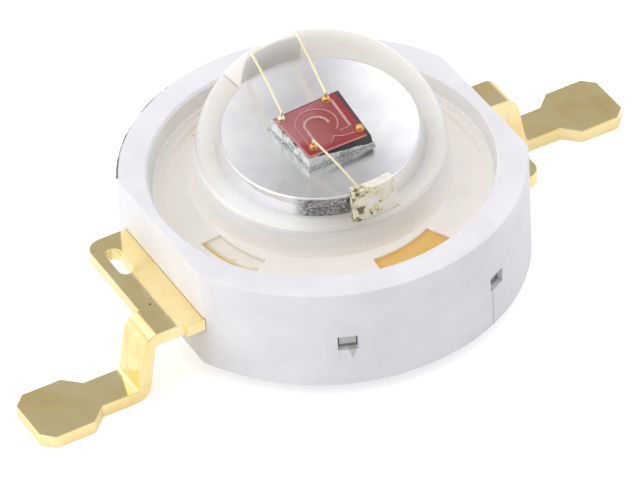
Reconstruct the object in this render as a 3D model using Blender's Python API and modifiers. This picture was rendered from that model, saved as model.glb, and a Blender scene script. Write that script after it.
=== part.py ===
"""High-power light-emitting diode: a round moulded housing with two gull-wing leads and a clear dome.

Metres, +Z up. The origin is under the middle of the heat slug, level with the undersides of the feet.
The leads run along X. A lead is drawn with its foot towards +X, then turned half round if it is the other.
"""

import math

import bmesh
import bpy
from mathutils import Matrix, Vector

MM = 0.001
COLLECTION = "high_power_led"
WELD = 0.0000005

# Clearances
FIT = 0.015 * MM
SEAT = 0.004 * MM

# Housing
BODY_RADIUS = 4.0 * MM
BODY_BOTTOM = 0.30 * MM
BODY_TOP = 2.56 * MM
FLAT_DEPTH = 0.38 * MM
FLAT_WALL = 0.24 * MM
LEDGE_WIDTH = 0.23 * MM
FLOOR_COVER = 0.10 * MM
EDGE_ROUND = 0.05 * MM
COLLAR_WALL = 0.48 * MM
COLLAR_PROUD = 0.09 * MM
FLAT_REACH = BODY_RADIUS - FLAT_DEPTH
RIM_BORE = FLAT_REACH - FLAT_WALL
LEDGE_BORE = RIM_BORE - LEDGE_WIDTH
COLLAR_TOP = BODY_TOP + COLLAR_PROUD

# Heat slug
PEDESTAL_RADIUS = 1.46 * MM
PEDESTAL_PROUD = 0.35 * MM
PEDESTAL_EDGE = 0.03 * MM
SLUG_BASE_RADIUS = 2.90 * MM
SLUG_BASE_TOP = 0.60 * MM
SLUG_GROOVE_DEPTH = 0.30 * MM
SLUG_GROOVE_HEIGHT = 0.20 * MM
SLUG_SHOULDER_DEPTH = 0.15 * MM
SLUG_SHOULDER_HEIGHT = 0.18 * MM
COLLAR_OUTER = PEDESTAL_RADIUS + COLLAR_WALL
PEDESTAL_TOP = COLLAR_TOP + PEDESTAL_PROUD
SLUG_GROOVE_RADIUS = SLUG_BASE_RADIUS - SLUG_GROOVE_DEPTH
SLUG_GROOVE_TOP = SLUG_BASE_TOP + SLUG_GROOVE_HEIGHT
SLUG_SHOULDER_RADIUS = SLUG_BASE_RADIUS - SLUG_SHOULDER_DEPTH
SLUG_SHOULDER_TOP = SLUG_GROOVE_TOP + SLUG_SHOULDER_HEIGHT

# Lens
FLANGE_MARGIN = 0.08 * MM
FLANGE_SUNK = 0.29 * MM
FLANGE_THICKNESS = 0.42 * MM
CAVITY_MARGIN = 0.26 * MM
DOME_LIFT = 0.41 * MM
DOME_WALL = 0.30 * MM
DOME_FILLET = 0.12 * MM
FLANGE_RADIUS = RIM_BORE - FLANGE_MARGIN
FLANGE_TOP = BODY_TOP - FLANGE_SUNK
FLANGE_BOTTOM = FLANGE_TOP - FLANGE_THICKNESS
DOME_CENTRE = FLANGE_TOP + DOME_LIFT
CAVITY_RADIUS = COLLAR_OUTER + CAVITY_MARGIN
DOME_RADIUS = CAVITY_RADIUS + DOME_WALL

# Lead frame outside the housing
SHEET = 0.28 * MM
SHEET_TOP = 1.50 * MM
HALF_SPAN = 7.24 * MM
SLOTTED_PLATE = 0.93 * MM
PLAIN_PLATE = 0.48 * MM
PLATE_LOW = -1.44 * MM
PLATE_CORNER = 0.33 * MM
STUB_LENGTH = 0.36 * MM
STUB_PROUD = 0.09 * MM
SLOT_WIDTH = 0.30 * MM
SLOT_LENGTH = 0.84 * MM
SLOT_CENTRE = (FLAT_REACH + 0.56 * MM, -0.63 * MM)
LEG_WIDTH = 0.80 * MM
LEG_CENTRE = 1.26 * MM
LEG_ANGLE = math.radians(80.0)
LEG_BEND_START = FLAT_REACH + 0.94 * MM
BEND_RADIUS = 0.21 * MM
FOOT_LENGTH = 1.07 * MM
FOOT_WIDTH = 1.44 * MM
FOOT_CHAMFER = 0.24 * MM
SHOULDER_RUN = 0.33 * MM
SHEET_BOTTOM = SHEET_TOP - SHEET
SHEET_MIDDLE = SHEET_TOP - SHEET / 2
FLOOR_TOP = SHEET_TOP + FLOOR_COVER
PLATE_HIGH = LEG_CENTRE + LEG_WIDTH / 2

# Lead frame inside the housing, in turns from the lead's own +X. The shares place the arm in the channel between
# the collar and the ledge.
ARM_INNER_SHARE = 36 / 121
ARM_OUTER_SHARE = 101 / 121
NECK_DEPTH = 0.22 * MM
NECK_LOW = PLATE_LOW + 0.44 * MM
NECK_HIGH = PLATE_HIGH - 0.36 * MM
TIE_ANGLES = (math.radians(67.0), math.radians(116.0))
TIE_WIDTH = 0.34 * MM
TIE_RECESS = 0.10 * MM
TIE_POCKET = (0.40 * MM, 0.33 * MM)
PLAIN_TAB_ANGLE = math.radians(82.0)
SLOTTED_TAB_ANGLE = math.radians(92.0)
TAB_HALF_TURN = math.radians(14.5)
TAB_RISE = 0.25 * MM
TAB_MARGIN = 0.14 * MM
TAB_THICKNESS = 0.22 * MM
TAB_NARROWING = 0.03 * MM
ARM_ROOM = LEDGE_BORE - COLLAR_OUTER
ARM_INNER = COLLAR_OUTER + ARM_ROOM * ARM_INNER_SHARE
ARM_OUTER = COLLAR_OUTER + ARM_ROOM * ARM_OUTER_SHARE
WALL_NECK = FLAT_REACH - NECK_DEPTH
TAB_INNER = PEDESTAL_RADIUS + TAB_MARGIN
TAB_MIDDLE = TAB_INNER + TAB_THICKNESS / 2
TAB_BOTTOM = SHEET_BOTTOM + SHEET / 4
TAB_TOP = PEDESTAL_TOP + TAB_RISE

# Windows in the recess's floor: two angles, and the radii between which the floor is open
WINDOW_INNER = ARM_INNER + 0.06 * MM
WINDOWS = (
    (math.radians(4.0), math.radians(33.0), WINDOW_INNER, ARM_OUTER - 0.15 * MM),
    (math.radians(84.0), math.radians(117.0), WINDOW_INNER, LEDGE_BORE - 0.05 * MM),
)

# Chip, from its adhesive up
CHIP_SIDE = 1.07 * MM
CHIP_CENTRE = (0.05 * MM, 0.025 * MM)
EMITTER_MARGIN = 0.025 * MM
ATTACH_MARGIN = 0.05 * MM
ATTACH_THICKNESS = 0.02 * MM
SUBSTRATE_THICKNESS = 0.16 * MM
EMITTER_THICKNESS = 0.02 * MM
METAL_THICKNESS = 0.006 * MM
PAD_RADIUS = 0.068 * MM
PAD_THICKNESS = 0.010 * MM
TRACK_WIDTH = 0.028 * MM
EMITTER_SIDE = CHIP_SIDE - 2 * EMITTER_MARGIN
ATTACH_SIDE = CHIP_SIDE + 2 * ATTACH_MARGIN
ATTACH_BOTTOM = PEDESTAL_TOP + SEAT
SUBSTRATE_BOTTOM = ATTACH_BOTTOM + ATTACH_THICKNESS + SEAT
EMITTER_BOTTOM = SUBSTRATE_BOTTOM + SUBSTRATE_THICKNESS + SEAT
METAL_BOTTOM = EMITTER_BOTTOM + EMITTER_THICKNESS + SEAT
PAD_BOTTOM = METAL_BOTTOM + METAL_THICKNESS + SEAT
PAD_TOP = PAD_BOTTOM + PAD_THICKNESS

# Places on the chip's face, as shares of its side from the middle
PAD_PLACES = {
    "left": (-0.42, 0.42),
    "top": (0.295, 0.425),
    "right": (0.43, -0.33),
    "front": (-0.345, -0.345),
}
EDGE_TRACK = ((0.355, 0.40), (0.345, -0.205), (0.175, -0.21))
BRANCH_TRACK = ((0.345, -0.355), (0.16, -0.335), (0.045, -0.265), (-0.06, -0.375))

# Each turn of the spiral electrode: its middle, its radius, and the angles it runs between
SPIRAL_INNER = ((-0.06, 0.055), 0.175, math.radians(-12.0), math.radians(168.0))
SPIRAL_LINK = [(-0.245, -0.17), (-0.30, -0.29), (-0.365, -0.27)]
SPIRAL_OUTER = ((-0.05, 0.08), 0.30, math.radians(165.0), math.radians(-50.0))

# Bond wires. The shares say where a wire leaves its neck, and where along its run it starts to fall.
WIRE_RADIUS = 0.022 * MM
BALL_RADIUS = 0.052 * MM
BALL_HEIGHT = 0.050 * MM
STITCH_RADIUS = 0.050 * MM
STITCH_HEIGHT = 0.052 * MM
LOOP_RISE = 0.14 * MM
NECK_SHARE = 0.60
FALL_SHARE = 0.62
TENSION = 0.50
WIRE_ENDS = {
    "left": math.radians(92.0),
    "top": math.radians(71.0),
    "front": math.radians(263.0),
}
BALL_BOTTOM = PAD_TOP + SEAT
BALL_MIDDLE = BALL_BOTTOM + BALL_HEIGHT / 2
LOOP_TOP = BALL_BOTTOM + LOOP_RISE
STITCH_MIDDLE = TAB_TOP + SEAT + STITCH_HEIGHT / 2

# How finely round forms are divided
BODY_STEPS = 72
TURN_STEPS = 48
GEL_STEPS = 36
DOME_STEPS = 10
EDGE_STEPS = 2
FILLET_STEPS = 3
ARM_STEPS = 12
ROUND_STEPS = 8
BEND_STEPS = 5
WIRE_STEPS = 9
SPIRAL_STEPS = 12
PAD_SIDES = 20
BALL_SIDES = 12
BALL_RINGS = 8
MITRE_LIMIT = 0.35
SHARP_EDGE = math.radians(35.0)

# Colour, roughness and metallic value of each material
FINISHES = {
    "white_moulding": ((0.86, 0.86, 0.88), 0.45, 0.0),
    "silver_plate": ((0.82, 0.82, 0.84), 0.12, 1.0),
    "gold_plate": ((0.83, 0.67, 0.32), 0.22, 1.0),
    "silver_adhesive": ((0.55, 0.55, 0.54), 0.6, 0.4),
    "dark_semiconductor": ((0.06, 0.06, 0.07), 0.3, 0.2),
    "red_semiconductor": ((0.50, 0.05, 0.08), 0.25, 0.1),
    "pale_metal": ((0.85, 0.55, 0.55), 0.3, 0.8),
    "bond_gold": ((0.90, 0.72, 0.38), 0.2, 1.0),
    "clear_gel": ((0.95, 0.95, 0.95), 0.05, 0.0),
    "clear_lens": ((0.97, 0.97, 0.97), 0.03, 0.0),
}


def clear_scene():
    """Removes whatever the scene starts with."""
    for thing in list(bpy.data.objects):
        bpy.data.objects.remove(thing, do_unlink=True)


def make_collection(name):
    collection = bpy.data.collections.new(name)
    bpy.context.scene.collection.children.link(collection)
    return collection


def make_materials():
    """One Principled material for each finish."""
    materials = {}
    for name, (colour, roughness, metallic) in FINISHES.items():
        material = bpy.data.materials.new(name)
        material.use_nodes = True
        shader = material.node_tree.nodes["Principled BSDF"]
        shader.inputs["Base Color"].default_value = (*colour, 1.0)
        shader.inputs["Roughness"].default_value = roughness
        shader.inputs["Metallic"].default_value = metallic
        materials[name] = material
    return materials


def arc(centre, radius, start, end, steps):
    """Points along an arc, both ends included."""
    points = []
    for step in range(steps + 1):
        angle = start + (end - start) * step / steps
        points.append((centre[0] + radius * math.cos(angle), centre[1] + radius * math.sin(angle)))
    return points


def polar(radius, angle):
    return (radius * math.cos(angle), radius * math.sin(angle))


class Builder:
    """Puts objects in the model's collection and the cutters in another."""

    def __init__(self):
        self.parts = make_collection(COLLECTION)
        self.cutters = make_collection(COLLECTION + "_cutters")
        self.cutters.hide_render = True
        self.materials = make_materials()

    def add(self, name, mesh, finish):
        """A named piece of the model."""
        piece = bpy.data.objects.new(name, mesh)
        mesh.materials.clear()
        mesh.materials.append(self.materials[finish])
        self.parts.objects.link(piece)
        return piece

    def add_cutter(self, name, mesh):
        """A shape that only cuts others."""
        cutter = bpy.data.objects.new(name, mesh)
        cutter.hide_render = True
        cutter.display_type = "WIRE"
        self.cutters.objects.link(cutter)
        return cutter

    def boolean(self, piece, cutter, operation="DIFFERENCE"):
        modifier = piece.modifiers.new(cutter.name, "BOOLEAN")
        modifier.operation = operation
        modifier.solver = "EXACT"
        modifier.object = cutter

    def evaluated(self, piece):
        """The piece's mesh with its modifiers applied, welded and facing out."""
        bpy.context.view_layer.update()
        depsgraph = bpy.context.evaluated_depsgraph_get()
        mesh = bpy.data.meshes.new_from_object(piece.evaluated_get(depsgraph))
        work = bmesh.new()
        work.from_mesh(mesh)
        bmesh.ops.remove_doubles(work, verts=work.verts, dist=WELD)
        bmesh.ops.recalc_face_normals(work, faces=work.faces)
        work.to_mesh(mesh)
        work.free()
        return mesh

    def united(self, name, meshes):
        """One mesh from several that run into each other."""
        base = self.add_cutter(name + "_base", meshes[0])
        helpers = [base]
        for index, mesh in enumerate(meshes[1:]):
            helper = self.add_cutter(f"{name}_join_{index}", mesh)
            self.boolean(base, helper, "UNION")
            helpers.append(helper)
        result = self.evaluated(base)
        for helper in helpers:
            bpy.data.objects.remove(helper, do_unlink=True)
        return result

    def flat_mesh(self, name, outline, low, high):
        """A flat outline given thickness from one height to another."""
        curve = bpy.data.curves.new(name, "CURVE")
        curve.dimensions = "2D"
        curve.fill_mode = "BOTH"
        curve.extrude = (high - low) / 2
        spline = curve.splines.new("POLY")
        spline.points.add(len(outline) - 1)
        for point, (x, y) in zip(spline.points, outline):
            point.co = (x, y, 0.0, 1.0)
        spline.use_cyclic_u = True
        drawn = bpy.data.objects.new(name, curve)
        self.cutters.objects.link(drawn)
        mesh = self.evaluated(drawn)
        bpy.data.objects.remove(drawn, do_unlink=True)
        mesh.transform(Matrix.Translation((0.0, 0.0, (low + high) / 2)))
        return mesh

    def turned(self, name, profile, steps, finish):
        """A profile turned once about Z. It runs down its outer side."""
        mesh = bpy.data.meshes.new(name)
        closed = profile[0][0] > WELD
        edges = [(index, index + 1) for index in range(len(profile) - 1)]
        if closed:
            edges.append((len(profile) - 1, 0))
        mesh.from_pydata([(x, 0.0, z) for x, z in profile], edges, [])
        piece = self.add(name, mesh, finish)
        screw = piece.modifiers.new("turn", "SCREW")
        screw.axis = "Z"
        screw.angle = math.tau
        screw.steps = steps
        screw.render_steps = steps
        screw.use_merge_vertices = True
        screw.merge_threshold = WELD
        screw.use_smooth_shade = True
        return piece

    def wire_mesh(self, name, points, radius):
        """A round wire through the points."""
        curve = bpy.data.curves.new(name, "CURVE")
        curve.dimensions = "3D"
        curve.bevel_depth = radius
        curve.bevel_resolution = 2
        curve.use_fill_caps = True
        spline = curve.splines.new("POLY")
        spline.points.add(len(points) - 1)
        for point, place in zip(spline.points, points):
            point.co = (*place, 1.0)
        drawn = bpy.data.objects.new(name, curve)
        self.cutters.objects.link(drawn)
        mesh = self.evaluated(drawn)
        bpy.data.objects.remove(drawn, do_unlink=True)
        return mesh


def box_mesh(name, size, centre):
    mesh = bpy.data.meshes.new(name)
    work = bmesh.new()
    bmesh.ops.create_cube(work, size=1.0)
    bmesh.ops.scale(work, verts=work.verts, vec=size)
    bmesh.ops.translate(work, verts=work.verts, vec=centre)
    work.to_mesh(mesh)
    work.free()
    return mesh


def disc_mesh(name, radius, low, high, centre):
    mesh = bpy.data.meshes.new(name)
    work = bmesh.new()
    bmesh.ops.create_cone(
        work, cap_ends=True, segments=PAD_SIDES, radius1=radius, radius2=radius, depth=high - low
    )
    bmesh.ops.translate(work, verts=work.verts, vec=(centre[0], centre[1], (low + high) / 2))
    work.to_mesh(mesh)
    work.free()
    return mesh


def squashed_sphere_mesh(name, radius, height, centre):
    mesh = bpy.data.meshes.new(name)
    work = bmesh.new()
    bmesh.ops.create_uvsphere(work, u_segments=BALL_SIDES, v_segments=BALL_RINGS, radius=radius)
    bmesh.ops.scale(work, verts=work.verts, vec=(1.0, 1.0, height / (2 * radius)))
    bmesh.ops.translate(work, verts=work.verts, vec=centre)
    work.to_mesh(mesh)
    work.free()
    return mesh


def sector(inner, outer, start, end):
    """The outline of part of a ring."""
    return arc((0, 0), inner, start, end, ROUND_STEPS) + arc((0, 0), outer, end, start, ROUND_STEPS)


def housing_profile():
    """Outer side from the rim's top down, then up the slug's bore and over the collar and the recess."""
    bore = FIT
    edge_centre = (BODY_RADIUS - EDGE_ROUND, BODY_TOP - EDGE_ROUND)
    edge = arc(edge_centre, EDGE_ROUND, math.radians(90.0), 0.0, EDGE_STEPS)
    return edge + [
        (BODY_RADIUS, BODY_BOTTOM + EDGE_ROUND),
        (BODY_RADIUS - EDGE_ROUND, BODY_BOTTOM),
        (SLUG_BASE_RADIUS + bore, BODY_BOTTOM),
        (SLUG_BASE_RADIUS + bore, SLUG_BASE_TOP + bore),
        (SLUG_GROOVE_RADIUS + bore, SLUG_BASE_TOP + bore),
        (SLUG_GROOVE_RADIUS + bore, SLUG_GROOVE_TOP - bore),
        (SLUG_SHOULDER_RADIUS + bore, SLUG_GROOVE_TOP - bore),
        (SLUG_SHOULDER_RADIUS + bore, SLUG_SHOULDER_TOP + bore),
        (PEDESTAL_RADIUS + bore, SLUG_SHOULDER_TOP + bore),
        (PEDESTAL_RADIUS + bore, COLLAR_TOP),
        (COLLAR_OUTER - EDGE_ROUND, COLLAR_TOP),
        (COLLAR_OUTER, COLLAR_TOP - EDGE_ROUND),
        (COLLAR_OUTER, FLOOR_TOP),
        (LEDGE_BORE, FLOOR_TOP),
        (LEDGE_BORE, FLANGE_BOTTOM - SEAT),
        (RIM_BORE, FLANGE_BOTTOM - SEAT),
        (RIM_BORE, BODY_TOP - EDGE_ROUND),
        (RIM_BORE + EDGE_ROUND, BODY_TOP),
    ]


def slug_profile():
    return [
        (0.0, PEDESTAL_TOP),
        (PEDESTAL_RADIUS - PEDESTAL_EDGE, PEDESTAL_TOP),
        (PEDESTAL_RADIUS, PEDESTAL_TOP - PEDESTAL_EDGE),
        (PEDESTAL_RADIUS, SLUG_SHOULDER_TOP),
        (SLUG_SHOULDER_RADIUS, SLUG_SHOULDER_TOP),
        (SLUG_SHOULDER_RADIUS, SLUG_GROOVE_TOP),
        (SLUG_GROOVE_RADIUS, SLUG_GROOVE_TOP),
        (SLUG_GROOVE_RADIUS, SLUG_BASE_TOP),
        (SLUG_BASE_RADIUS, SLUG_BASE_TOP),
        (SLUG_BASE_RADIUS, EDGE_ROUND),
        (SLUG_BASE_RADIUS - EDGE_ROUND, 0.0),
        (0.0, 0.0),
    ]


def dome_points(radius, steps):
    """A quarter circle from the top of the dome to its side."""
    points = arc((0.0, DOME_CENTRE), radius, math.radians(90.0), 0.0, steps)
    points[0] = (0.0, DOME_CENTRE + radius)
    return points


def lens_profile():
    fillet_centre = (DOME_RADIUS + DOME_FILLET, FLANGE_TOP + DOME_FILLET)
    fillet = arc(fillet_centre, DOME_FILLET, math.radians(180.0), math.radians(270.0), FILLET_STEPS)
    cavity = dome_points(CAVITY_RADIUS, DOME_STEPS)
    return (
        dome_points(DOME_RADIUS, DOME_STEPS)
        + fillet
        + [
            (FLANGE_RADIUS - EDGE_ROUND, FLANGE_TOP),
            (FLANGE_RADIUS, FLANGE_TOP - EDGE_ROUND),
            (FLANGE_RADIUS, FLANGE_BOTTOM),
            (CAVITY_RADIUS, FLANGE_BOTTOM),
        ]
        + cavity[::-1]
    )


def gel_profile():
    """Outer side of the gel inside the lens, then the hollow over the collar and the slug."""
    gel_radius = CAVITY_RADIUS - FIT
    spread = LEDGE_BORE - FIT
    return dome_points(gel_radius, DOME_STEPS) + [
        (gel_radius, FLANGE_BOTTOM - FIT),
        (spread, FLANGE_BOTTOM - FIT),
        (spread, FLOOR_TOP + SEAT),
        (COLLAR_OUTER + FIT, FLOOR_TOP + SEAT),
        (COLLAR_OUTER + FIT, COLLAR_TOP + SEAT),
        (PEDESTAL_RADIUS + FIT, COLLAR_TOP + SEAT),
        (PEDESTAL_RADIUS + FIT, PEDESTAL_TOP + SEAT),
        (0.0, PEDESTAL_TOP + SEAT),
    ]


class Fold:
    """The bent run of a lead: flat, down the leg, and flat again at the foot."""

    def __init__(self):
        turn = 2 * BEND_RADIUS * (1 - math.cos(LEG_ANGLE))
        drop = SHEET_BOTTOM
        self.bend = BEND_RADIUS * LEG_ANGLE
        self.leg = (drop - turn) / math.sin(LEG_ANGLE)
        self.second = self.bend + self.leg
        self.end = self.second + self.bend
        self.run = 2 * BEND_RADIUS * math.sin(LEG_ANGLE) + self.leg * math.cos(LEG_ANGLE)

    def unfolded(self, reach):
        """How far out a place on the foot lies in the flat blank."""
        return reach - self.run + self.end

    def cuts(self):
        """Where the flat blank needs rows of points to bend."""
        rows = []
        for start in (0.0, self.second):
            for step in range(BEND_STEPS + 1):
                rows.append(LEG_BEND_START + start + self.bend * step / BEND_STEPS)
        return rows

    def place(self, along, rise):
        """Folded place of a point of the blank, from its run along X and its height over the middle."""
        s = along - LEG_BEND_START
        if s <= 0.0:
            return (along, SHEET_MIDDLE + rise)
        angle = LEG_ANGLE
        x = BEND_RADIUS * math.sin(LEG_ANGLE)
        z = -BEND_RADIUS * (1 - math.cos(LEG_ANGLE))
        if s <= self.bend:
            angle = s / BEND_RADIUS
            x = BEND_RADIUS * math.sin(angle)
            z = -BEND_RADIUS * (1 - math.cos(angle))
        elif s <= self.second:
            x += (s - self.bend) * math.cos(LEG_ANGLE)
            z -= (s - self.bend) * math.sin(LEG_ANGLE)
        else:
            angle = max(0.0, LEG_ANGLE - (s - self.second) / BEND_RADIUS)
            x += self.leg * math.cos(LEG_ANGLE) + BEND_RADIUS * (math.sin(LEG_ANGLE) - math.sin(angle))
            z -= self.leg * math.sin(LEG_ANGLE) + BEND_RADIUS * (math.cos(angle) - math.cos(LEG_ANGLE))
            x += max(0.0, s - self.end)
        x += LEG_BEND_START + rise * math.sin(angle)
        z += SHEET_MIDDLE + rise * math.cos(angle)
        return (x, z)


def bar_end(angle, half_width, inner, outer):
    """The two sides of a radial bar, each as an inner and an outer point, the higher angle first."""
    along = Vector(polar(1.0, angle))
    side = Vector((-along.y, along.x)) * half_width
    points = []
    for sign in (1, -1):
        for radius in (inner, outer):
            reach = math.sqrt(radius**2 - half_width**2)
            points.append(tuple(along * reach + side * sign))
    return points


def inner_arm_outline(tab_angle, grow):
    """The arm inside the housing, from its low corner at the wall round to its high corner there."""
    inner = ARM_INNER - grow
    outer = ARM_OUTER + grow
    half_tie = TIE_WIDTH / 2 + grow
    tie_end = BODY_RADIUS - TIE_RECESS + grow
    low = NECK_LOW - grow
    high = NECK_HIGH + grow
    tab_start = tab_angle - TAB_HALF_TURN - grow / TAB_MIDDLE
    tab_end = tab_angle + TAB_HALF_TURN + grow / TAB_MIDDLE
    low_angle = math.asin(low / outer)
    high_angle = math.asin(high / outer)
    first, last = TIE_ANGLES
    lean_in = math.asin(half_tie / inner)
    lean_out = math.asin(half_tie / outer)
    far_tie = bar_end(last, half_tie, inner, tie_end)
    near_tie = bar_end(first, half_tie, outer, tie_end)
    outline = [polar(outer, low_angle)]
    outline += arc((0, 0), inner, low_angle, tab_start, ARM_STEPS)
    outline += arc((0, 0), TAB_MIDDLE - grow, tab_start, tab_end, ROUND_STEPS)
    outline.append(polar(inner, tab_end))
    outline += [far_tie[0], far_tie[1], far_tie[3]]
    outline += arc((0, 0), outer, last - lean_out, first + lean_out, ROUND_STEPS)
    outline += [near_tie[1], near_tie[3]]
    outline += arc((0, 0), outer, first - lean_out, high_angle, ROUND_STEPS)
    return outline


def lead_outline(fold, plate_reach, tab_angle):
    """The flat blank of a lead, before its leg is bent."""
    leg_low = LEG_CENTRE - LEG_WIDTH / 2
    stub_high = PLATE_HIGH + STUB_PROUD
    stub_reach = FLAT_REACH + STUB_LENGTH
    foot_low = LEG_CENTRE - FOOT_WIDTH / 2
    foot_high = LEG_CENTRE + FOOT_WIDTH / 2
    toe = fold.unfolded(HALF_SPAN)
    shoulder = toe - FOOT_LENGTH
    neck = shoulder - SHOULDER_RUN
    outline = inner_arm_outline(tab_angle, 0.0)
    outline += [
        (WALL_NECK, NECK_HIGH),
        (WALL_NECK, stub_high),
        (stub_reach, stub_high),
        (stub_reach, PLATE_HIGH),
        (neck, PLATE_HIGH),
        (shoulder, foot_high),
        (toe - FOOT_CHAMFER, foot_high),
        (toe, foot_high - FOOT_CHAMFER),
        (toe, foot_low + FOOT_CHAMFER),
        (toe - FOOT_CHAMFER, foot_low),
        (shoulder, foot_low),
        (neck, leg_low),
        (plate_reach, leg_low),
    ]
    corner_centre = (plate_reach - PLATE_CORNER, PLATE_LOW + PLATE_CORNER)
    outline += arc(corner_centre, PLATE_CORNER, 0.0, math.radians(-90.0), ROUND_STEPS)
    outline += [(WALL_NECK, PLATE_LOW), (WALL_NECK, NECK_LOW)]
    return outline


def bent_blank(build, fold, plate_reach, tab_angle):
    """Stamps the blank from sheet, then bends its leg."""
    mesh = build.flat_mesh("blank", lead_outline(fold, plate_reach, tab_angle), -SHEET / 2, SHEET / 2)
    work = bmesh.new()
    work.from_mesh(mesh)
    for row in fold.cuts():
        geometry = work.verts[:] + work.edges[:] + work.faces[:]
        bmesh.ops.bisect_plane(work, geom=geometry, dist=WELD, plane_co=(row, 0, 0), plane_no=(1, 0, 0))
    for vertex in work.verts:
        x, z = fold.place(vertex.co.x, vertex.co.z)
        vertex.co = (x, vertex.co.y, z)
    bmesh.ops.recalc_face_normals(work, faces=work.faces)
    work.to_mesh(mesh)
    work.free()
    return mesh


def tab_outline(tab_angle, grow):
    turn = TAB_HALF_TURN + (grow - TAB_NARROWING) / TAB_MIDDLE
    return sector(
        TAB_INNER - grow,
        TAB_INNER + TAB_THICKNESS + grow,
        tab_angle - turn,
        tab_angle + turn,
    )


def slot_outline():
    """A round-ended slot along Y."""
    x, y = SLOT_CENTRE
    radius = SLOT_WIDTH / 2
    straight = (SLOT_LENGTH - SLOT_WIDTH) / 2
    upper = arc((x, y + straight), radius, 0.0, math.pi, ROUND_STEPS)
    lower = arc((x, y - straight), radius, math.pi, math.tau, ROUND_STEPS)
    return upper + lower


def build_lead(build, name, plate, tab_angle, slotted, turned_half):
    """A lead with its plate, leg, foot, inner arm and bond tab, as one piece."""
    blank = bent_blank(build, Fold(), FLAT_REACH + plate, tab_angle)
    tab = build.flat_mesh("tab", tab_outline(tab_angle, 0.0), TAB_BOTTOM, TAB_TOP)
    mesh = build.united(name, [blank, tab])
    lead = build.add(name, mesh, "gold_plate")
    if slotted:
        slot = build.flat_mesh("slot", slot_outline(), SHEET_BOTTOM - SHEET, SHEET_TOP + SHEET)
        cutter = build.add_cutter("slot_cutter", slot)
        cutter.parent = lead
        build.boolean(lead, cutter)
    if turned_half:
        lead.rotation_euler.z = math.pi
    return lead


def pocket_meshes(build, tab_angle):
    """The room a lead takes in the housing, with its clearance, and the windows over its arm."""
    low = SHEET_BOTTOM - FIT
    high = SHEET_TOP + FIT
    stub_high = PLATE_HIGH + STUB_PROUD + FIT
    outline = inner_arm_outline(tab_angle, FIT)
    outline += [
        (WALL_NECK - FIT, NECK_HIGH + FIT),
        (WALL_NECK - FIT, stub_high),
        (BODY_RADIUS, stub_high),
        (BODY_RADIUS, PLATE_LOW - FIT),
        (WALL_NECK - FIT, PLATE_LOW - FIT),
        (WALL_NECK - FIT, NECK_LOW - FIT),
    ]
    meshes = [build.flat_mesh("arm_room", outline, low, high)]
    meshes.append(build.flat_mesh("tab_room", tab_outline(tab_angle, FIT), TAB_BOTTOM - FIT, TAB_TOP + SHEET))
    for start, end, inner, outer in WINDOWS:
        window = sector(inner, outer, start, end)
        meshes.append(build.flat_mesh("window", window, SHEET_MIDDLE, FLOOR_TOP + FLOOR_COVER))
    for angle in TIE_ANGLES:
        width, height = TIE_POCKET
        depth = 2 * TIE_RECESS
        pocket = box_mesh("tie_room", (depth, width, height), (0, 0, SHEET_MIDDLE))
        pocket.transform(Matrix.Translation((BODY_RADIUS, 0, 0)))
        pocket.transform(Matrix.Rotation(angle, 4, "Z"))
        meshes.append(pocket)
    return meshes


def build_housing(build):
    """The moulding: rim, recess, collar, side flats, and room for both leads."""
    housing = build.turned("housing", housing_profile(), BODY_STEPS, "white_moulding")
    over = BODY_RADIUS
    for side, sign in (("near", -1), ("far", 1)):
        centre = (sign * (FLAT_REACH + over / 2), 0, over / 2)
        flat = build.add_cutter(f"flat_{side}", box_mesh("flat", (over, 3 * over, 2 * over), centre))
        build.boolean(housing, flat)
    for side, tab_angle, angle in (("far", PLAIN_TAB_ANGLE, 0.0), ("near", SLOTTED_TAB_ANGLE, math.pi)):
        for index, mesh in enumerate(pocket_meshes(build, tab_angle)):
            cutter = build.add_cutter(f"room_{side}_{index}", mesh)
            cutter.rotation_euler.z = angle
            build.boolean(housing, cutter)
    return housing


def chip_place(share):
    """A place on the chip's face from its share of the side."""
    x, y = CHIP_CENTRE
    return (x + share[0] * EMITTER_SIDE, y + share[1] * EMITTER_SIDE)


def ribbon_outline(points, width):
    """A flat track of one width along a line."""
    left = []
    right = []
    for index, point in enumerate(points):
        here = Vector(point)
        before = Vector(points[max(index - 1, 0)])
        after = Vector(points[min(index + 1, len(points) - 1)])
        into = (here - before).normalized() if index else (after - here).normalized()
        out = (after - here).normalized() if index < len(points) - 1 else into
        normal = Vector((-(into + out).y, (into + out).x)).normalized()
        spread = width / 2 / max(MITRE_LIMIT, normal.dot(Vector((-into.y, into.x))))
        left.append(tuple(here + normal * spread))
        right.append(tuple(here - normal * spread))
    return left + right[::-1]


def spiral_track():
    """From the inner turn's free end, through the front pad, to the outer turn's free end."""
    return arc(*SPIRAL_INNER, SPIRAL_STEPS) + SPIRAL_LINK + arc(*SPIRAL_OUTER, SPIRAL_STEPS)


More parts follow.
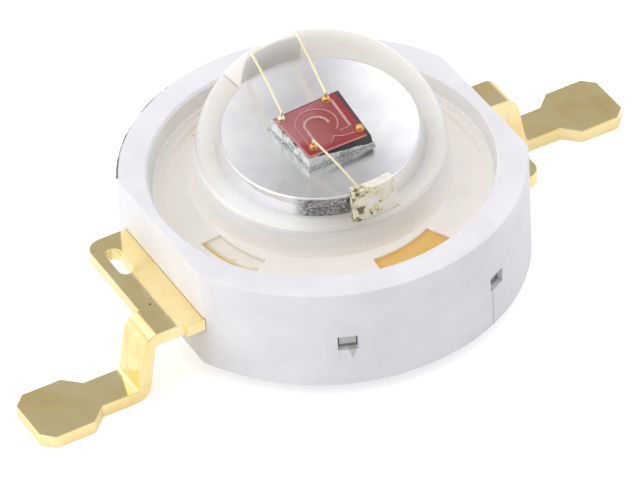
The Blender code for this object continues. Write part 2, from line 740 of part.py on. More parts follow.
def build_chip(build):
    """Die attach, the semiconductor, its light-emitting face, and the metal on that face."""
    layers = (
        ("die_attach", ATTACH_SIDE, ATTACH_BOTTOM, ATTACH_THICKNESS, "silver_adhesive"),
        ("chip_substrate", CHIP_SIDE, SUBSTRATE_BOTTOM, SUBSTRATE_THICKNESS, "dark_semiconductor"),
        ("emitter_layer", EMITTER_SIDE, EMITTER_BOTTOM, EMITTER_THICKNESS, "red_semiconductor"),
    )
    for name, side, bottom, thickness, finish in layers:
        centre = (*CHIP_CENTRE, bottom + thickness / 2)
        build.add(name, box_mesh(name, (side, side, thickness), centre), finish)
    tracks = (
        ("electrode_spiral", spiral_track()),
        ("electrode_edge", EDGE_TRACK),
        ("electrode_branch", BRANCH_TRACK),
    )
    for name, shares in tracks:
        outline = ribbon_outline([chip_place(share) for share in shares], TRACK_WIDTH)
        mesh = build.flat_mesh(name, outline, METAL_BOTTOM, METAL_BOTTOM + METAL_THICKNESS)
        build.add(name, mesh, "pale_metal")
    for name, share in PAD_PLACES.items():
        mesh = disc_mesh(name, PAD_RADIUS, PAD_BOTTOM, PAD_TOP, chip_place(share))
        build.add("bond_pad_" + name, mesh, "bond_gold")


def wire_route(name):
    """The wire's neck over its ball, its loop, and its fall to the bond tab."""
    start = Vector((*chip_place(PAD_PLACES[name]), BALL_MIDDLE))
    finish = Vector((*polar(TAB_MIDDLE, WIRE_ENDS[name]), STITCH_MIDDLE))
    neck = Vector((start.x, start.y, LOOP_TOP))
    edge = neck.lerp(finish, FALL_SHARE)
    edge.z = LOOP_TOP
    points = [start, start.lerp(neck, NECK_SHARE)]
    for step in range(WIRE_STEPS + 1):
        t = step / WIRE_STEPS
        points.append(
            (1 - t) ** 3 * neck
            + 3 * (1 - t) ** 2 * t * neck.lerp(edge, TENSION)
            + 3 * (1 - t) * t**2 * edge
            + t**3 * finish
        )
    return [tuple(point) for point in points]


def ball_mesh(name, share, grow):
    x, y = chip_place(share)
    centre = (x, y, BALL_MIDDLE)
    return squashed_sphere_mesh(name, BALL_RADIUS + grow, BALL_HEIGHT + 2 * grow, centre)


def stitch_mesh(name, grow):
    x, y = polar(TAB_MIDDLE, WIRE_ENDS[name])
    centre = (x, y, STITCH_MIDDLE)
    return squashed_sphere_mesh(name, STITCH_RADIUS + grow, STITCH_HEIGHT + 2 * grow, centre)


def build_wires(build):
    """Three bond wires with their balls and stitches, and one ball with no wire."""
    for name in WIRE_ENDS:
        wire = build.wire_mesh(name, wire_route(name), WIRE_RADIUS)
        ball = ball_mesh(name, PAD_PLACES[name], 0.0)
        mesh = build.united(name, [wire, ball, stitch_mesh(name, 0.0)])
        build.add("bond_wire_" + name, mesh, "bond_gold")
    build.add("bond_ball_right", ball_mesh("right", PAD_PLACES["right"], 0.0), "bond_gold")


def build_gel(build):
    """The soft filling of the lens, moulded round the chip and its wires."""
    gel = build.turned("gel", gel_profile(), GEL_STEPS, "clear_gel")
    side = ATTACH_SIDE + 2 * FIT
    low = PEDESTAL_TOP - PEDESTAL_EDGE
    high = PAD_TOP + FIT
    room = box_mesh("chip_room", (side, side, high - low), (*CHIP_CENTRE, (low + high) / 2))
    cuts = [room, ball_mesh("right", PAD_PLACES["right"], FIT)]
    for tab_angle, angle in ((PLAIN_TAB_ANGLE, 0.0), (SLOTTED_TAB_ANGLE, math.pi)):
        tab = build.flat_mesh("tab_room", tab_outline(tab_angle, FIT), COLLAR_TOP - FIT, TAB_TOP + FIT)
        tab.transform(Matrix.Rotation(angle, 4, "Z"))
        cuts.append(tab)
    for name in WIRE_ENDS:
        cuts.append(build.wire_mesh(name, wire_route(name), WIRE_RADIUS + FIT))
        cuts.append(ball_mesh(name, PAD_PLACES[name], FIT))
        cuts.append(stitch_mesh(name, FIT))
    for index, mesh in enumerate(cuts):
        build.boolean(gel, build.add_cutter(f"gel_room_{index}", mesh))
    return gel


def finish_shading(build):
    """Round pieces are shaded smooth and keep their sharp edges."""
    for piece in build.parts.objects:
        if piece.type == "MESH" and piece.data.polygons:
            piece.data.shade_smooth()
            piece.data.set_sharp_from_angle(angle=SHARP_EDGE)


def main():
    clear_scene()
    build = Builder()
    build_housing(build)
    build.turned("heat_slug", slug_profile(), TURN_STEPS, "silver_plate")
    build_lead(build, "lead_slotted", SLOTTED_PLATE, SLOTTED_TAB_ANGLE, slotted=True, turned_half=True)
    build_lead(build, "lead_plain", PLAIN_PLATE, PLAIN_TAB_ANGLE, slotted=False, turned_half=False)
    build_chip(build)
    build_wires(build)
    build_gel(build)
    build.turned("lens", lens_profile(), TURN_STEPS, "clear_lens")
    finish_shading(build)


main()
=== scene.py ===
"""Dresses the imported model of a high-power light-emitting diode for a studio picture.

The moulding, the stamped leads and the turned slug get smooth skins, the dome is remade as optical surfaces,
and the bond wires and the chip's metal are drawn along their own paths.
Lengths are in metres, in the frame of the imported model: +X along the leads, +Z up through the dome.
"""

from __future__ import annotations

import logging
import math
from dataclasses import dataclass, field
from enum import Enum

import bmesh
import bpy
from mathutils import Matrix, Vector, noise

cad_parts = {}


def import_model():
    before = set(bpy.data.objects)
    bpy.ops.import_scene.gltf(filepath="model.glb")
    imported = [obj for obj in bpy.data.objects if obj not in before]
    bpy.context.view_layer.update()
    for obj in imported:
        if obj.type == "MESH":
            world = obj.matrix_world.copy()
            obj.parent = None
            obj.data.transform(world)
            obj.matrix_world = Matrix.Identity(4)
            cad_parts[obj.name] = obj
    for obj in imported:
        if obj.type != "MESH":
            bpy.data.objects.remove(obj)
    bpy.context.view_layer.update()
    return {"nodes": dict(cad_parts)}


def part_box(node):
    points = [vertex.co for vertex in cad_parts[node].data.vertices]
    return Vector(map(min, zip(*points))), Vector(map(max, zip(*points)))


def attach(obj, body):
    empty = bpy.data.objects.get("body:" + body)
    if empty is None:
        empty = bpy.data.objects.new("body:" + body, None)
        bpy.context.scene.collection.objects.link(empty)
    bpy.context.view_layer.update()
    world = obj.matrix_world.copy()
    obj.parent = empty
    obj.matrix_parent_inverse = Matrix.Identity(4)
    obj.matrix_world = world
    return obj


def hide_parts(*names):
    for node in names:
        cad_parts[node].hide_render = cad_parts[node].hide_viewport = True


LOG = logging.getLogger("high_power_led")
MM = 0.001
WELD = 2e-7
FLAT_WITHIN = math.radians(0.6)
ROUND_STEPS = 2
BODY = "root"
CHIP_CENTRE = (0.05 * MM, 0.025 * MM)
CHIP_SIDE = 1.02 * MM
BALL_SEGMENTS = 28
BALL_RINGS = 16
# How fast the edges of the pads and of the adhesive wander, in changes per metre.
WANDER = 9000.0
# How strong each finer layer of a grain is beside the one before it.
GRAIN_ROUGHNESS = 0.55

Tree = bpy.types.NodeTree
Socket = bpy.types.NodeSocket
Point2 = tuple[float, float]
Point3 = tuple[float, float, float]


class Slot(Enum):
    """The record's material slots."""

    MOULDING = "white_moulding"
    SILVER = "silver_plate"
    GOLD = "gold_plate"
    ADHESIVE = "silver_adhesive"
    SUBSTRATE = "dark_semiconductor"
    EMITTER = "red_semiconductor"
    ELECTRODE = "pale_metal"
    BOND = "bond_gold"
    GEL = "clear_gel"
    LENS = "clear_lens"


class Shading(Enum):
    """How a skin's faces meet in the light, by the angle past which an edge stays sharp."""

    SMOOTH = math.pi
    CRISP = math.radians(34.0)


class Corner(Enum):
    """The four bond pads on the chip, by the corner that each lies in."""

    LEFT = "left"
    TOP = "top"
    RIGHT = "right"
    FRONT = "front"


class Joining(Enum):
    """How masks are joined: the result holds where all of them do, or where any of them does."""

    ALL = "MULTIPLY"
    ANY = "MAXIMUM"


# Small tools ------------------------------------------------------------------------------------------------


def linear(colour: str) -> tuple[float, float, float, float]:
    """Turns an sRGB hex colour to linear light.

    Args:
        colour: six hex digits, with or without a leading #.

    Returns:
        Red, green, blue and an alpha of 1.
    """
    digits = colour.lstrip("#")
    channels = []
    for start in (0, 2, 4):
        value = int(digits[start : start + 2], 16) / 255
        channels.append(value / 12.92 if value <= 0.04045 else ((value + 0.055) / 1.055) ** 2.4)
    return (channels[0], channels[1], channels[2], 1.0)


def add_node(tree: Tree, kind: str, inputs: dict | None = None, **settings: object) -> bpy.types.Node:
    """Adds a node with its settings, values and links.

    Args:
        tree: the shader or geometry tree.
        kind: the node's type.
        inputs: socket name or index, to a value or to the output socket that feeds it.
        settings: the node's own properties.

    Returns:
        The new node.
    """
    node = tree.nodes.new(kind)
    for name, value in settings.items():
        setattr(node, name, value)
    for key, value in (inputs or {}).items():
        socket = node.inputs[key]
        if isinstance(value, Socket):
            tree.links.new(value, socket)
        else:
            socket.default_value = value
    return node


def ramp(tree: Tree, factor: Socket, stops: list[tuple[float, str]]) -> Socket:
    """A colour ramp.

    Args:
        tree: the shader tree.
        factor: what the ramp reads.
        stops: places from 0 to 1, each with its sRGB hex colour.

    Returns:
        The ramp's colour socket.
    """
    node = add_node(tree, "ShaderNodeValToRGB", {"Fac": factor})
    elements = node.color_ramp.elements
    while len(elements) < len(stops):
        elements.new(0.5)
    for element, (place, colour) in zip(elements, stops):
        element.position = place
        element.color = linear(colour)
    return node.outputs["Color"]


def spread(tree: Tree, value: Socket, low: float, high: float, to: Point2 = (0.0, 1.0)) -> Socket:
    """Maps a value from low..high to another range, clamped.

    Args:
        tree: the shader tree.
        value: what is read.
        low: the value that gives the first end of the new range.
        high: the value that gives the other end.
        to: the new range.

    Returns:
        The mapped value's socket.
    """
    inputs = {"Value": value, "From Min": low, "From Max": high, "To Min": to[0], "To Max": to[1]}
    return add_node(tree, "ShaderNodeMapRange", inputs).outputs["Result"]


def joined(tree: Tree, rule: Joining, *masks: Socket) -> Socket:
    """Joins masks, each from 0 to 1, in one.

    Args:
        tree: the shader tree.
        rule: how they are joined.
        masks: the masks.

    Returns:
        The joined mask's socket.
    """
    result = masks[0]
    for mask in masks[1:]:
        result = add_node(tree, "ShaderNodeMath", {0: result, 1: mask}, operation=rule.value).outputs[0]
    return result


def arc(centre: Point2, radius: float, start: float, end: float, steps: int) -> list[Point2]:
    """Points along an arc, both ends included.

    Args:
        centre: the arc's middle.
        radius: its radius.
        start: the first angle, in radians.
        end: the last angle.
        steps: how many pieces it is divided in.

    Returns:
        The points in order.
    """
    points = []
    for step in range(steps + 1):
        angle = start + (end - start) * step / steps
        points.append((centre[0] + radius * math.cos(angle), centre[1] + radius * math.sin(angle)))
    return points


def polyline(name: str, points: list[Point3]) -> bpy.types.Mesh:
    """A mesh of one open line of edges.

    Args:
        name: the mesh's name.
        points: the line's points in order.

    Returns:
        The mesh.
    """
    mesh = bpy.data.meshes.new(name)
    mesh.from_pydata(points, [(index, index + 1) for index in range(len(points) - 1)], [])
    return mesh


def linked(name: str, data: bpy.types.Mesh | bpy.types.Camera) -> bpy.types.Object:
    """Puts a new object in the scene.

    Args:
        name: the object's name.
        data: its mesh or camera.

    Returns:
        The object.
    """
    item = bpy.data.objects.new(name, data)
    bpy.context.scene.collection.objects.link(item)
    return item


def evaluated(carrier: bpy.types.Object) -> bpy.types.Mesh:
    """Turns what an object's modifiers give to a plain mesh, and removes the object.

    Args:
        carrier: the object with the modifiers.

    Returns:
        A new mesh.
    """
    bpy.context.view_layer.update()
    depsgraph = bpy.context.evaluated_depsgraph_get()
    mesh = bpy.data.meshes.new_from_object(carrier.evaluated_get(depsgraph))
    bpy.data.objects.remove(carrier, do_unlink=True)
    return mesh


def written(name: str, work: bmesh.types.BMesh) -> bpy.types.Mesh:
    """Writes a bmesh to a new mesh, and frees it.

    Args:
        name: the new mesh's name.
        work: the bmesh.

    Returns:
        The new mesh.
    """
    mesh = bpy.data.meshes.new(name)
    work.to_mesh(mesh)
    work.free()
    return mesh


def clean(mesh: bpy.types.Mesh, shading: Shading = Shading.CRISP) -> bpy.types.Mesh:
    """Welds a mesh, turns its faces outwards and shades it.

    Args:
        mesh: a closed mesh.
        shading: how its faces meet in the light.

    Returns:
        The same mesh.
    """
    work = bmesh.new()
    work.from_mesh(mesh)
    bmesh.ops.remove_doubles(work, verts=work.verts, dist=WELD)
    bmesh.ops.dissolve_degenerate(work, edges=work.edges, dist=WELD)
    bmesh.ops.recalc_face_normals(work, faces=work.faces)
    work.to_mesh(mesh)
    work.free()
    mesh.shade_smooth()
    mesh.set_sharp_from_angle(angle=shading.value)
    return mesh


# Geometry trees ---------------------------------------------------------------------------------------------


@dataclass
class GeometryTree:
    """A geometry tree with named inputs, built once and run on one mesh at a time."""

    name: str
    sockets: dict[str, str] = field(default_factory=dict)

    def group(self) -> Tree:
        """The tree, made on its first use."""
        found = bpy.data.node_groups.get(self.name)
        if found:
            return found
        tree = bpy.data.node_groups.new(self.name, "GeometryNodeTree")
        tree.interface.new_socket("Geometry", in_out="INPUT", socket_type="NodeSocketGeometry")
        for name, kind in {**self.sockets, "Material": "NodeSocketMaterial"}.items():
            tree.interface.new_socket(name, in_out="INPUT", socket_type=kind)
        tree.interface.new_socket("Geometry", in_out="OUTPUT", socket_type="NodeSocketGeometry")
        start = add_node(tree, "NodeGroupInput")
        shaped = self.shape(tree, start)
        solid = add_node(tree, "GeometryNodeRealizeInstances", {"Geometry": shaped}).outputs["Geometry"]
        inputs = {"Geometry": solid, "Material": start.outputs["Material"]}
        painted = add_node(tree, "GeometryNodeSetMaterial", inputs).outputs["Geometry"]
        add_node(tree, "NodeGroupOutput", {"Geometry": painted})
        return tree

    def shape(self, tree: Tree, start: bpy.types.Node) -> Socket:
        """Adds the nodes that make the form.

        Args:
            tree: the geometry tree.
            start: its Group Input node.

        Returns:
            The socket of the finished geometry.
        """
        raise NotImplementedError

    def run(self, source: bpy.types.Mesh, material: bpy.types.Material, **values: float) -> bpy.types.Mesh:
        """Runs the tree on a mesh and returns plain mesh.

        Args:
            source: the mesh that goes in.
            material: what the result is painted with.
            values: each named input, with spaces written as underscores.

        Returns:
            A new mesh with no modifier behind it.
        """
        carrier = linked(source.name, source)
        modifier = carrier.modifiers.new(self.name, "NODES")
        modifier.node_group = self.group()
        wanted = {name.replace("_", " "): value for name, value in values.items()}
        wanted["Material"] = material
        for item in modifier.node_group.interface.items_tree:
            if item.in_out == "INPUT" and item.name in wanted:
                modifier[item.identifier] = wanted[item.name]
        mesh = evaluated(carrier)
        mesh.materials.clear()
        mesh.materials.append(material)
        return mesh


@dataclass
class TurnTree(GeometryTree):
    """Turns a profile once about Z: a grid whose rows take the profile's places and whose columns turn round."""

    name: str = "turn_profile"
    sockets: dict[str, str] = field(default_factory=lambda: {"Steps": "NodeSocketInt"})

    def shape(self, tree: Tree, start: bpy.types.Node) -> Socket:
        """Adds the grid and bends it round the axis.

        Args:
            tree: the geometry tree.
            start: its Group Input node.

        Returns:
            The socket of the turned surface.
        """
        profile, steps = start.outputs["Geometry"], start.outputs["Steps"]
        rows = add_node(tree, "GeometryNodeAttributeDomainSize", {"Geometry": profile}).outputs["Point Count"]
        columns = add_node(tree, "ShaderNodeMath", {0: steps, 1: 1.0}, operation="ADD").outputs[0]
        grid = add_node(tree, "GeometryNodeMeshGrid", {"Vertices X": columns, "Vertices Y": rows}).outputs["Mesh"]
        index = add_node(tree, "GeometryNodeInputIndex").outputs["Index"]
        row = add_node(tree, "ShaderNodeMath", {0: index, 1: rows}, operation="MODULO").outputs[0]
        share = add_node(tree, "ShaderNodeMath", {0: index, 1: rows}, operation="DIVIDE").outputs[0]
        column = add_node(tree, "ShaderNodeMath", {0: share}, operation="FLOOR").outputs[0]
        turned = add_node(tree, "ShaderNodeMath", {0: column, 1: steps}, operation="DIVIDE").outputs[0]
        angle = add_node(tree, "ShaderNodeMath", {0: turned, 1: math.tau}, operation="MULTIPLY").outputs[0]
        place = add_node(tree, "GeometryNodeInputPosition").outputs["Position"]
        inputs = {"Geometry": profile, "Value": place, "Index": row}
        settings = {"data_type": "FLOAT_VECTOR", "domain": "POINT"}
        sampled = add_node(tree, "GeometryNodeSampleIndex", inputs, **settings).outputs[0]
        inputs = {"Vector": sampled, "Angle": angle}
        moved = add_node(tree, "ShaderNodeVectorRotate", inputs, rotation_type="Z_AXIS").outputs["Vector"]
        return add_node(tree, "GeometryNodeSetPosition", {"Geometry": grid, "Position": moved}).outputs["Geometry"]


@dataclass
class WireTree(GeometryTree):
    """A bond wire along a line of points, with its ball at the first and its stitch at the last."""

    name: str = "bond_wire"
    sockets: dict[str, str] = field(
        default_factory=lambda: dict.fromkeys(
            ("Wire radius", "Ball radius", "Ball height", "Stitch radius", "Stitch height"), "NodeSocketFloat"
        )
    )
    stations: int = 72
    sides: int = 16

    def knob(self, tree: Tree, line: Socket, ends: tuple[int, int], radius: Socket, height: Socket) -> Socket:
        """Puts a squashed ball on one end of the line.

        Args:
            tree: the geometry tree.
            line: the wire's line.
            ends: how many points from its start and from its end take a ball.
            radius: the ball's radius.
            height: its height.

        Returns:
            The socket of the ball.
        """
        where = add_node(tree, "GeometryNodeCurveEndpointSelection", {"Start Size": ends[0], "End Size": ends[1]})
        inputs = {"Segments": BALL_SEGMENTS, "Rings": BALL_RINGS, "Radius": 1.0}
        ball = add_node(tree, "GeometryNodeMeshUVSphere", inputs)
        half = add_node(tree, "ShaderNodeMath", {0: height, 1: 0.5}, operation="MULTIPLY").outputs[0]
        size = add_node(tree, "ShaderNodeCombineXYZ", {"X": radius, "Y": radius, "Z": half}).outputs[0]
        inputs = {
            "Points": line,
            "Selection": where.outputs["Selection"],
            "Instance": ball.outputs["Mesh"],
            "Scale": size,
        }
        return add_node(tree, "GeometryNodeInstanceOnPoints", inputs).outputs["Instances"]

    def shape(self, tree: Tree, start: bpy.types.Node) -> Socket:
        """Adds the wire, the ball and the stitch.

        Args:
            tree: the geometry tree.
            start: its Group Input node.

        Returns:
            The socket of the joined geometry.
        """
        drawn = add_node(tree, "GeometryNodeMeshToCurve", {"Mesh": start.outputs["Geometry"]}).outputs["Curve"]
        soft = add_node(tree, "GeometryNodeCurveSplineType", {"Curve": drawn}, spline_type="CATMULL_ROM")
        inputs = {"Curve": soft.outputs["Curve"], "Count": self.stations}
        line = add_node(tree, "GeometryNodeResampleCurve", inputs).outputs["Curve"]
        inputs = {"Radius": start.outputs["Wire radius"], "Resolution": self.sides}
        ring = add_node(tree, "GeometryNodeCurvePrimitiveCircle", inputs).outputs["Curve"]
        inputs = {"Curve": line, "Profile Curve": ring, "Fill Caps": True}
        tube = add_node(tree, "GeometryNodeCurveToMesh", inputs).outputs["Mesh"]
        ball = self.knob(tree, line, (1, 0), start.outputs["Ball radius"], start.outputs["Ball height"])
        stitch = self.knob(tree, line, (0, 1), start.outputs["Stitch radius"], start.outputs["Stitch height"])
        join = add_node(tree, "GeometryNodeJoinGeometry")
        for socket in (tube, ball, stitch):
            tree.links.new(socket, join.inputs[0])
        return add_node(tree, "GeometryNodeSetShadeSmooth", {"Geometry": join.outputs[0]}).outputs["Geometry"]


@dataclass
class TrackTree(GeometryTree):
    """A flat metal track of one width and thickness along a line of points."""

    name: str = "metal_track"
    sockets: dict[str, str] = field(default_factory=lambda: dict.fromkeys(("Width", "Thickness"), "NodeSocketFloat"))

    def shape(self, tree: Tree, start: bpy.types.Node) -> Socket:
        """Adds the line and sweeps a flat bar along it.

        Args:
            tree: the geometry tree.
            start: its Group Input node.

        Returns:
            The socket of the track.
        """
        drawn = add_node(tree, "GeometryNodeMeshToCurve", {"Mesh": start.outputs["Geometry"]}).outputs["Curve"]
        level = add_node(tree, "GeometryNodeSetCurveNormal", {"Curve": drawn}, mode="Z_UP").outputs["Curve"]
        inputs = {"Width": start.outputs["Width"], "Height": start.outputs["Thickness"]}
        bar = add_node(tree, "GeometryNodeCurvePrimitiveQuadrilateral", inputs).outputs["Curve"]
        inputs = {"Curve": level, "Profile Curve": bar, "Fill Caps": True}
        return add_node(tree, "GeometryNodeCurveToMesh", inputs).outputs["Mesh"]


# Finishes ---------------------------------------------------------------------------------------------------


@dataclass(frozen=True)
class Where:
    """Where a point of a surface lies: its place, the parts of it, the flat place and the reach from the axis."""

    place: Socket
    x: Socket
    y: Socket
    z: Socket
    flat: Socket
    reach: Socket


@dataclass(frozen=True)
class Finish:
    """What a surface is made of, and the record's slot that it stands for."""

    name: str
    slot: Slot

    def material(self) -> bpy.types.Material:
        """The finish as a Blender material, made on its first use."""
        found = bpy.data.materials.get(self.name)
        if found:
            return found
        material = bpy.data.materials.new(self.name)
        material.use_nodes = True
        tree = material.node_tree
        tree.nodes.clear()
        add_node(tree, "ShaderNodeOutputMaterial", {"Surface": self.shade(tree)})
        return material

    def shade(self, tree: Tree) -> Socket:
        """Adds the shader.

        Args:
            tree: the material's tree.

        Returns:
            The socket that goes to the output.
        """
        raise NotImplementedError

    @staticmethod
    def place(tree: Tree) -> Socket:
        """The place on the object, in its own metres."""
        return add_node(tree, "ShaderNodeTexCoord").outputs["Object"]

    def where(self, tree: Tree) -> Where:
        """Adds the nodes that tell where a point lies on the object.

        Args:
            tree: the material's tree.

        Returns:
            The point's sockets.
        """
        place = self.place(tree)
        x, y, z = add_node(tree, "ShaderNodeSeparateXYZ", {"Vector": place}).outputs
        flat = add_node(tree, "ShaderNodeCombineXYZ", {"X": x, "Y": y}).outputs["Vector"]
        reach = add_node(tree, "ShaderNodeVectorMath", {0: flat}, operation="LENGTH").outputs["Value"]
        return Where(place, x, y, z, flat, reach)

    @staticmethod
    def grain(tree: Tree, place: Socket, size: float, detail: float = 3.0, stretch: Point3 | None = None) -> Socket:
        """Noise with one feature about as wide as the size given.

        Args:
            tree: the material's tree.
            place: the place on the object.
            size: the feature's width.
            detail: how much finer noise is laid over it.
            stretch: how much the pattern is scaled along each axis; below 1 draws it out.

        Returns:
            The noise's value socket.
        """
        if stretch:
            place = add_node(tree, "ShaderNodeMapping", {"Vector": place, "Scale": stretch}).outputs["Vector"]
        inputs = {"Vector": place, "Scale": 1.0 / size, "Detail": detail, "Roughness": GRAIN_ROUGHNESS}
        return add_node(tree, "ShaderNodeTexNoise", inputs).outputs["Fac"]

    @staticmethod
    def specks(tree: Tree, place: Socket, spacing: float, radius: float, rarity: float) -> Socket:
        """Round specks strewn over a surface, from 0 to 1.

        Args:
            tree: the material's tree.
            place: the place on the object.
            spacing: how far apart the spots lie where a speck may be.
            radius: a speck's radius, as a share of the spacing.
            rarity: the share of the spots that stay empty.

        Returns:
            The mask's socket.
        """
        cells = add_node(tree, "ShaderNodeTexVoronoi", {"Vector": place, "Scale": 1.0 / spacing})
        inputs = {0: cells.outputs["Distance"], 1: radius}
        close = add_node(tree, "ShaderNodeMath", inputs, operation="LESS_THAN").outputs[0]
        pick = add_node(tree, "ShaderNodeSeparateColor", {"Color": cells.outputs["Color"]}).outputs[0]
        few = add_node(tree, "ShaderNodeMath", {0: pick, 1: rarity}, operation="GREATER_THAN").outputs[0]
        return joined(tree, Joining.ALL, close, few)

    @staticmethod
    def coated(tree: Tree, under: Socket, *coats: tuple[Socket, Socket | str]) -> Socket:
        """Lays colours over one another.

        Args:
            tree: the material's tree.
            under: the lowest colour.
            coats: for each coat, the mask of where it lies and its colour, as a socket or in sRGB hex.

        Returns:
            The socket of the colour that shows.
        """
        for mask, colour in coats:
            over = linear(colour) if isinstance(colour, str) else colour
            inputs = {"Factor": mask, 6: under, 7: over}
            under = add_node(tree, "ShaderNodeMix", inputs, data_type="RGBA").outputs[2]
        return under

    @staticmethod
    def relief(tree: Tree, height: Socket, depth: float, strength: float, under: Socket | None = None) -> Socket:
        """A bump of the height given.

        Args:
            tree: the material's tree.
            height: the pattern, from 0 to 1.
            depth: how deep it is.
            strength: how much of it shows.
            under: another bump beneath it.

        Returns:
            The normal's socket.
        """
        inputs = {"Height": height, "Distance": depth, "Strength": strength}
        if under is not None:
            inputs["Normal"] = under
        return add_node(tree, "ShaderNodeBump", inputs).outputs["Normal"]


@dataclass(frozen=True)
class Witness:
    """A faint grey mark on the side wall, narrow below and wide above, in radians round and metres up."""

    azimuth: float
    low: float
    high: float
    half_low: float
    half_high: float


@dataclass(frozen=True)
class MouldedPolyphthalamide(Finish):
    """White reflector-grade polyphthalamide from a fine eroded mould: bright, satin, with a few dust specks.

    The recess is painted warmer and brighter, painted light in place of its shade and of the glow bounced from its
    gold.
    The collar's top carries painted light and shade round it: a painted caustic brightness at the left front, painted
    shade towards the rear and a painted dark reflection in front. The rim's outer edge has a thin dark line in patches
    on one side, and a line and a tail run down the wall from the tie bars' ends.
    """

    name: str = "polyphthalamide_white_moulded"
    slot: Slot = Slot.MOULDING
    bright: str = "#EDEDF0"
    dull: str = "#E4E3E7"
    mottle: float = 1.1 * MM
    speck: str = "#A09C98"
    dust_spacing: float = 0.85 * MM
    dust_radius: float = 0.018
    dust_rarity: float = 0.80
    # Painted light: the recess is painted this warm near white, brighter than the body, in place of its shade.
    recess_painted_light: str = "#FEFAF5"
    recess_radius: float = 3.22 * MM
    recess_fade: float = 0.2 * MM
    recess_top: float = 2.30 * MM
    recess_depth: float = 0.3 * MM
    painted_light_above: float = 0.35
    # Painted light and shade round the collar's top, by degrees round: a painted caustic brightness at the left front
    # (185 to 222), painted shade towards the rear, and a painted dark reflection seen through the dome in front (243
    # to 262).
    collar_painted_light: tuple[tuple[float, str], ...] = (
        (0.0, "#F6F3EE"),
        (50.0, "#EDE8E0"),
        (90.0, "#E8E2DA"),
        (150.0, "#EEE9E2"),
        (185.0, "#FFFFFF"),
        (222.0, "#FDFCFA"),
        (243.0, "#E0DDD7"),
        (262.0, "#CFCAC2"),
        (285.0, "#F2EEE8"),
    )
    collar_radius: float = 1.96 * MM
    collar_low: float = 2.50 * MM
    collar_fade: float = 0.12 * MM
    trace: str = "#C3C3C2"
    wall_radius: float = 3.90 * MM
    witnesses: tuple[Witness, ...] = (
        Witness(math.radians(294.0), 0.25 * MM, 1.22 * MM, math.radians(0.25), math.radians(0.25)),
        Witness(math.radians(248.2), 0.98 * MM, 1.26 * MM, math.radians(0.05), math.radians(1.4)),
    )
    # A thin dark line in patches along part of the rim's outer top edge, in the sectors given in degrees round.
    dark_mark: str = "#55555A"
    edge_radius: float = 3.950 * MM
    edge_height: float = 2.51 * MM
    scuffed: tuple[Point2, ...] = ((110.8, 112.4), (113.5, 124.3), (131.3, 154.5))
    dark_mark_grain: float = 0.5 * MM
    sink: float = 0.8 * MM
    sink_depth: float = 0.012 * MM
    erosion: float = 0.045 * MM
    erosion_depth: float = 0.0022 * MM
    sheen: Point2 = (0.34, 0.47)
    sheen_grain: float = 0.4 * MM
    ior: float = 1.56
    scatter: float = 0.12
    scatter_tint: Point3 = (1.0, 0.92, 0.85)
    scatter_reach: float = 0.18 * MM

    @staticmethod
    def around(tree: Tree, at: Where) -> Socket:
        """The angle about the axis, from 0 to a whole turn.

        Args:
            tree: the material's tree.
            at: where the point lies.

        Returns:
            The angle's socket.
        """
        turn = add_node(tree, "ShaderNodeMath", {0: at.y, 1: at.x}, operation="ARCTAN2").outputs[0]
        whole = add_node(tree, "ShaderNodeMath", {0: turn, 1: math.tau}, operation="ADD").outputs[0]
        return add_node(tree, "ShaderNodeMath", {0: whole, 1: math.tau}, operation="MODULO").outputs[0]

    def recess(self, tree: Tree, at: Where) -> Socket:
        """How far inside the recess a point is, from 0 to 1, which is where the recess's painted light lies.

        Args:
            tree: the material's tree.
            at: where the point lies.

        Returns:
            The mask's socket.
        """
        wall = self.recess_radius + self.recess_fade
        inner = spread(tree, at.reach, self.recess_radius, wall, (1.0, 0.0))
        low = spread(tree, at.z, self.recess_top - self.recess_depth, self.recess_top, (1.0, self.painted_light_above))
        return joined(tree, Joining.ALL, inner, low)

    def collar(self, tree: Tree, at: Where) -> tuple[Socket, Socket]:
        """Where the collar is, from 0 to 1, and the colour of the painted light and shade round it.

        Args:
            tree: the material's tree.
            at: where the point lies.

        Returns:
            The mask's socket and the colour's socket.
        """
        inputs = {0: at.reach, 1: self.collar_radius}
        inner = add_node(tree, "ShaderNodeMath", inputs, operation="LESS_THAN").outputs[0]
        high = spread(tree, at.z, self.collar_low, self.collar_low + self.collar_fade)
        share = spread(tree, self.around(tree, at), 0.0, math.tau)
        tones = [(angle / 360.0, colour) for angle, colour in self.collar_painted_light]
        return joined(tree, Joining.ALL, inner, high), ramp(tree, share, tones)

    def traces(self, tree: Tree, at: Where) -> Socket:
        """Where the wall carries its faint marks, from 0 to 1.

        Args:
            tree: the material's tree.
            at: where the point lies.

        Returns:
            The mask's socket.
        """
        inputs = {0: at.reach, 1: self.wall_radius}
        outer = add_node(tree, "ShaderNodeMath", inputs, operation="GREATER_THAN").outputs[0]
        around = self.around(tree, at)
        marks = []
        for mark in self.witnesses:
            half = spread(tree, at.z, mark.low, mark.high, (mark.half_low, mark.half_high))
            inputs = {0: around, 1: mark.azimuth, 2: half}
            beside = add_node(tree, "ShaderNodeMath", inputs, operation="COMPARE").outputs[0]
            inputs = {0: at.z, 1: (mark.low + mark.high) / 2, 2: (mark.high - mark.low) / 2}
            level = add_node(tree, "ShaderNodeMath", inputs, operation="COMPARE").outputs[0]
            marks.append(joined(tree, Joining.ALL, beside, level))
        return joined(tree, Joining.ALL, joined(tree, Joining.ANY, *marks), outer)

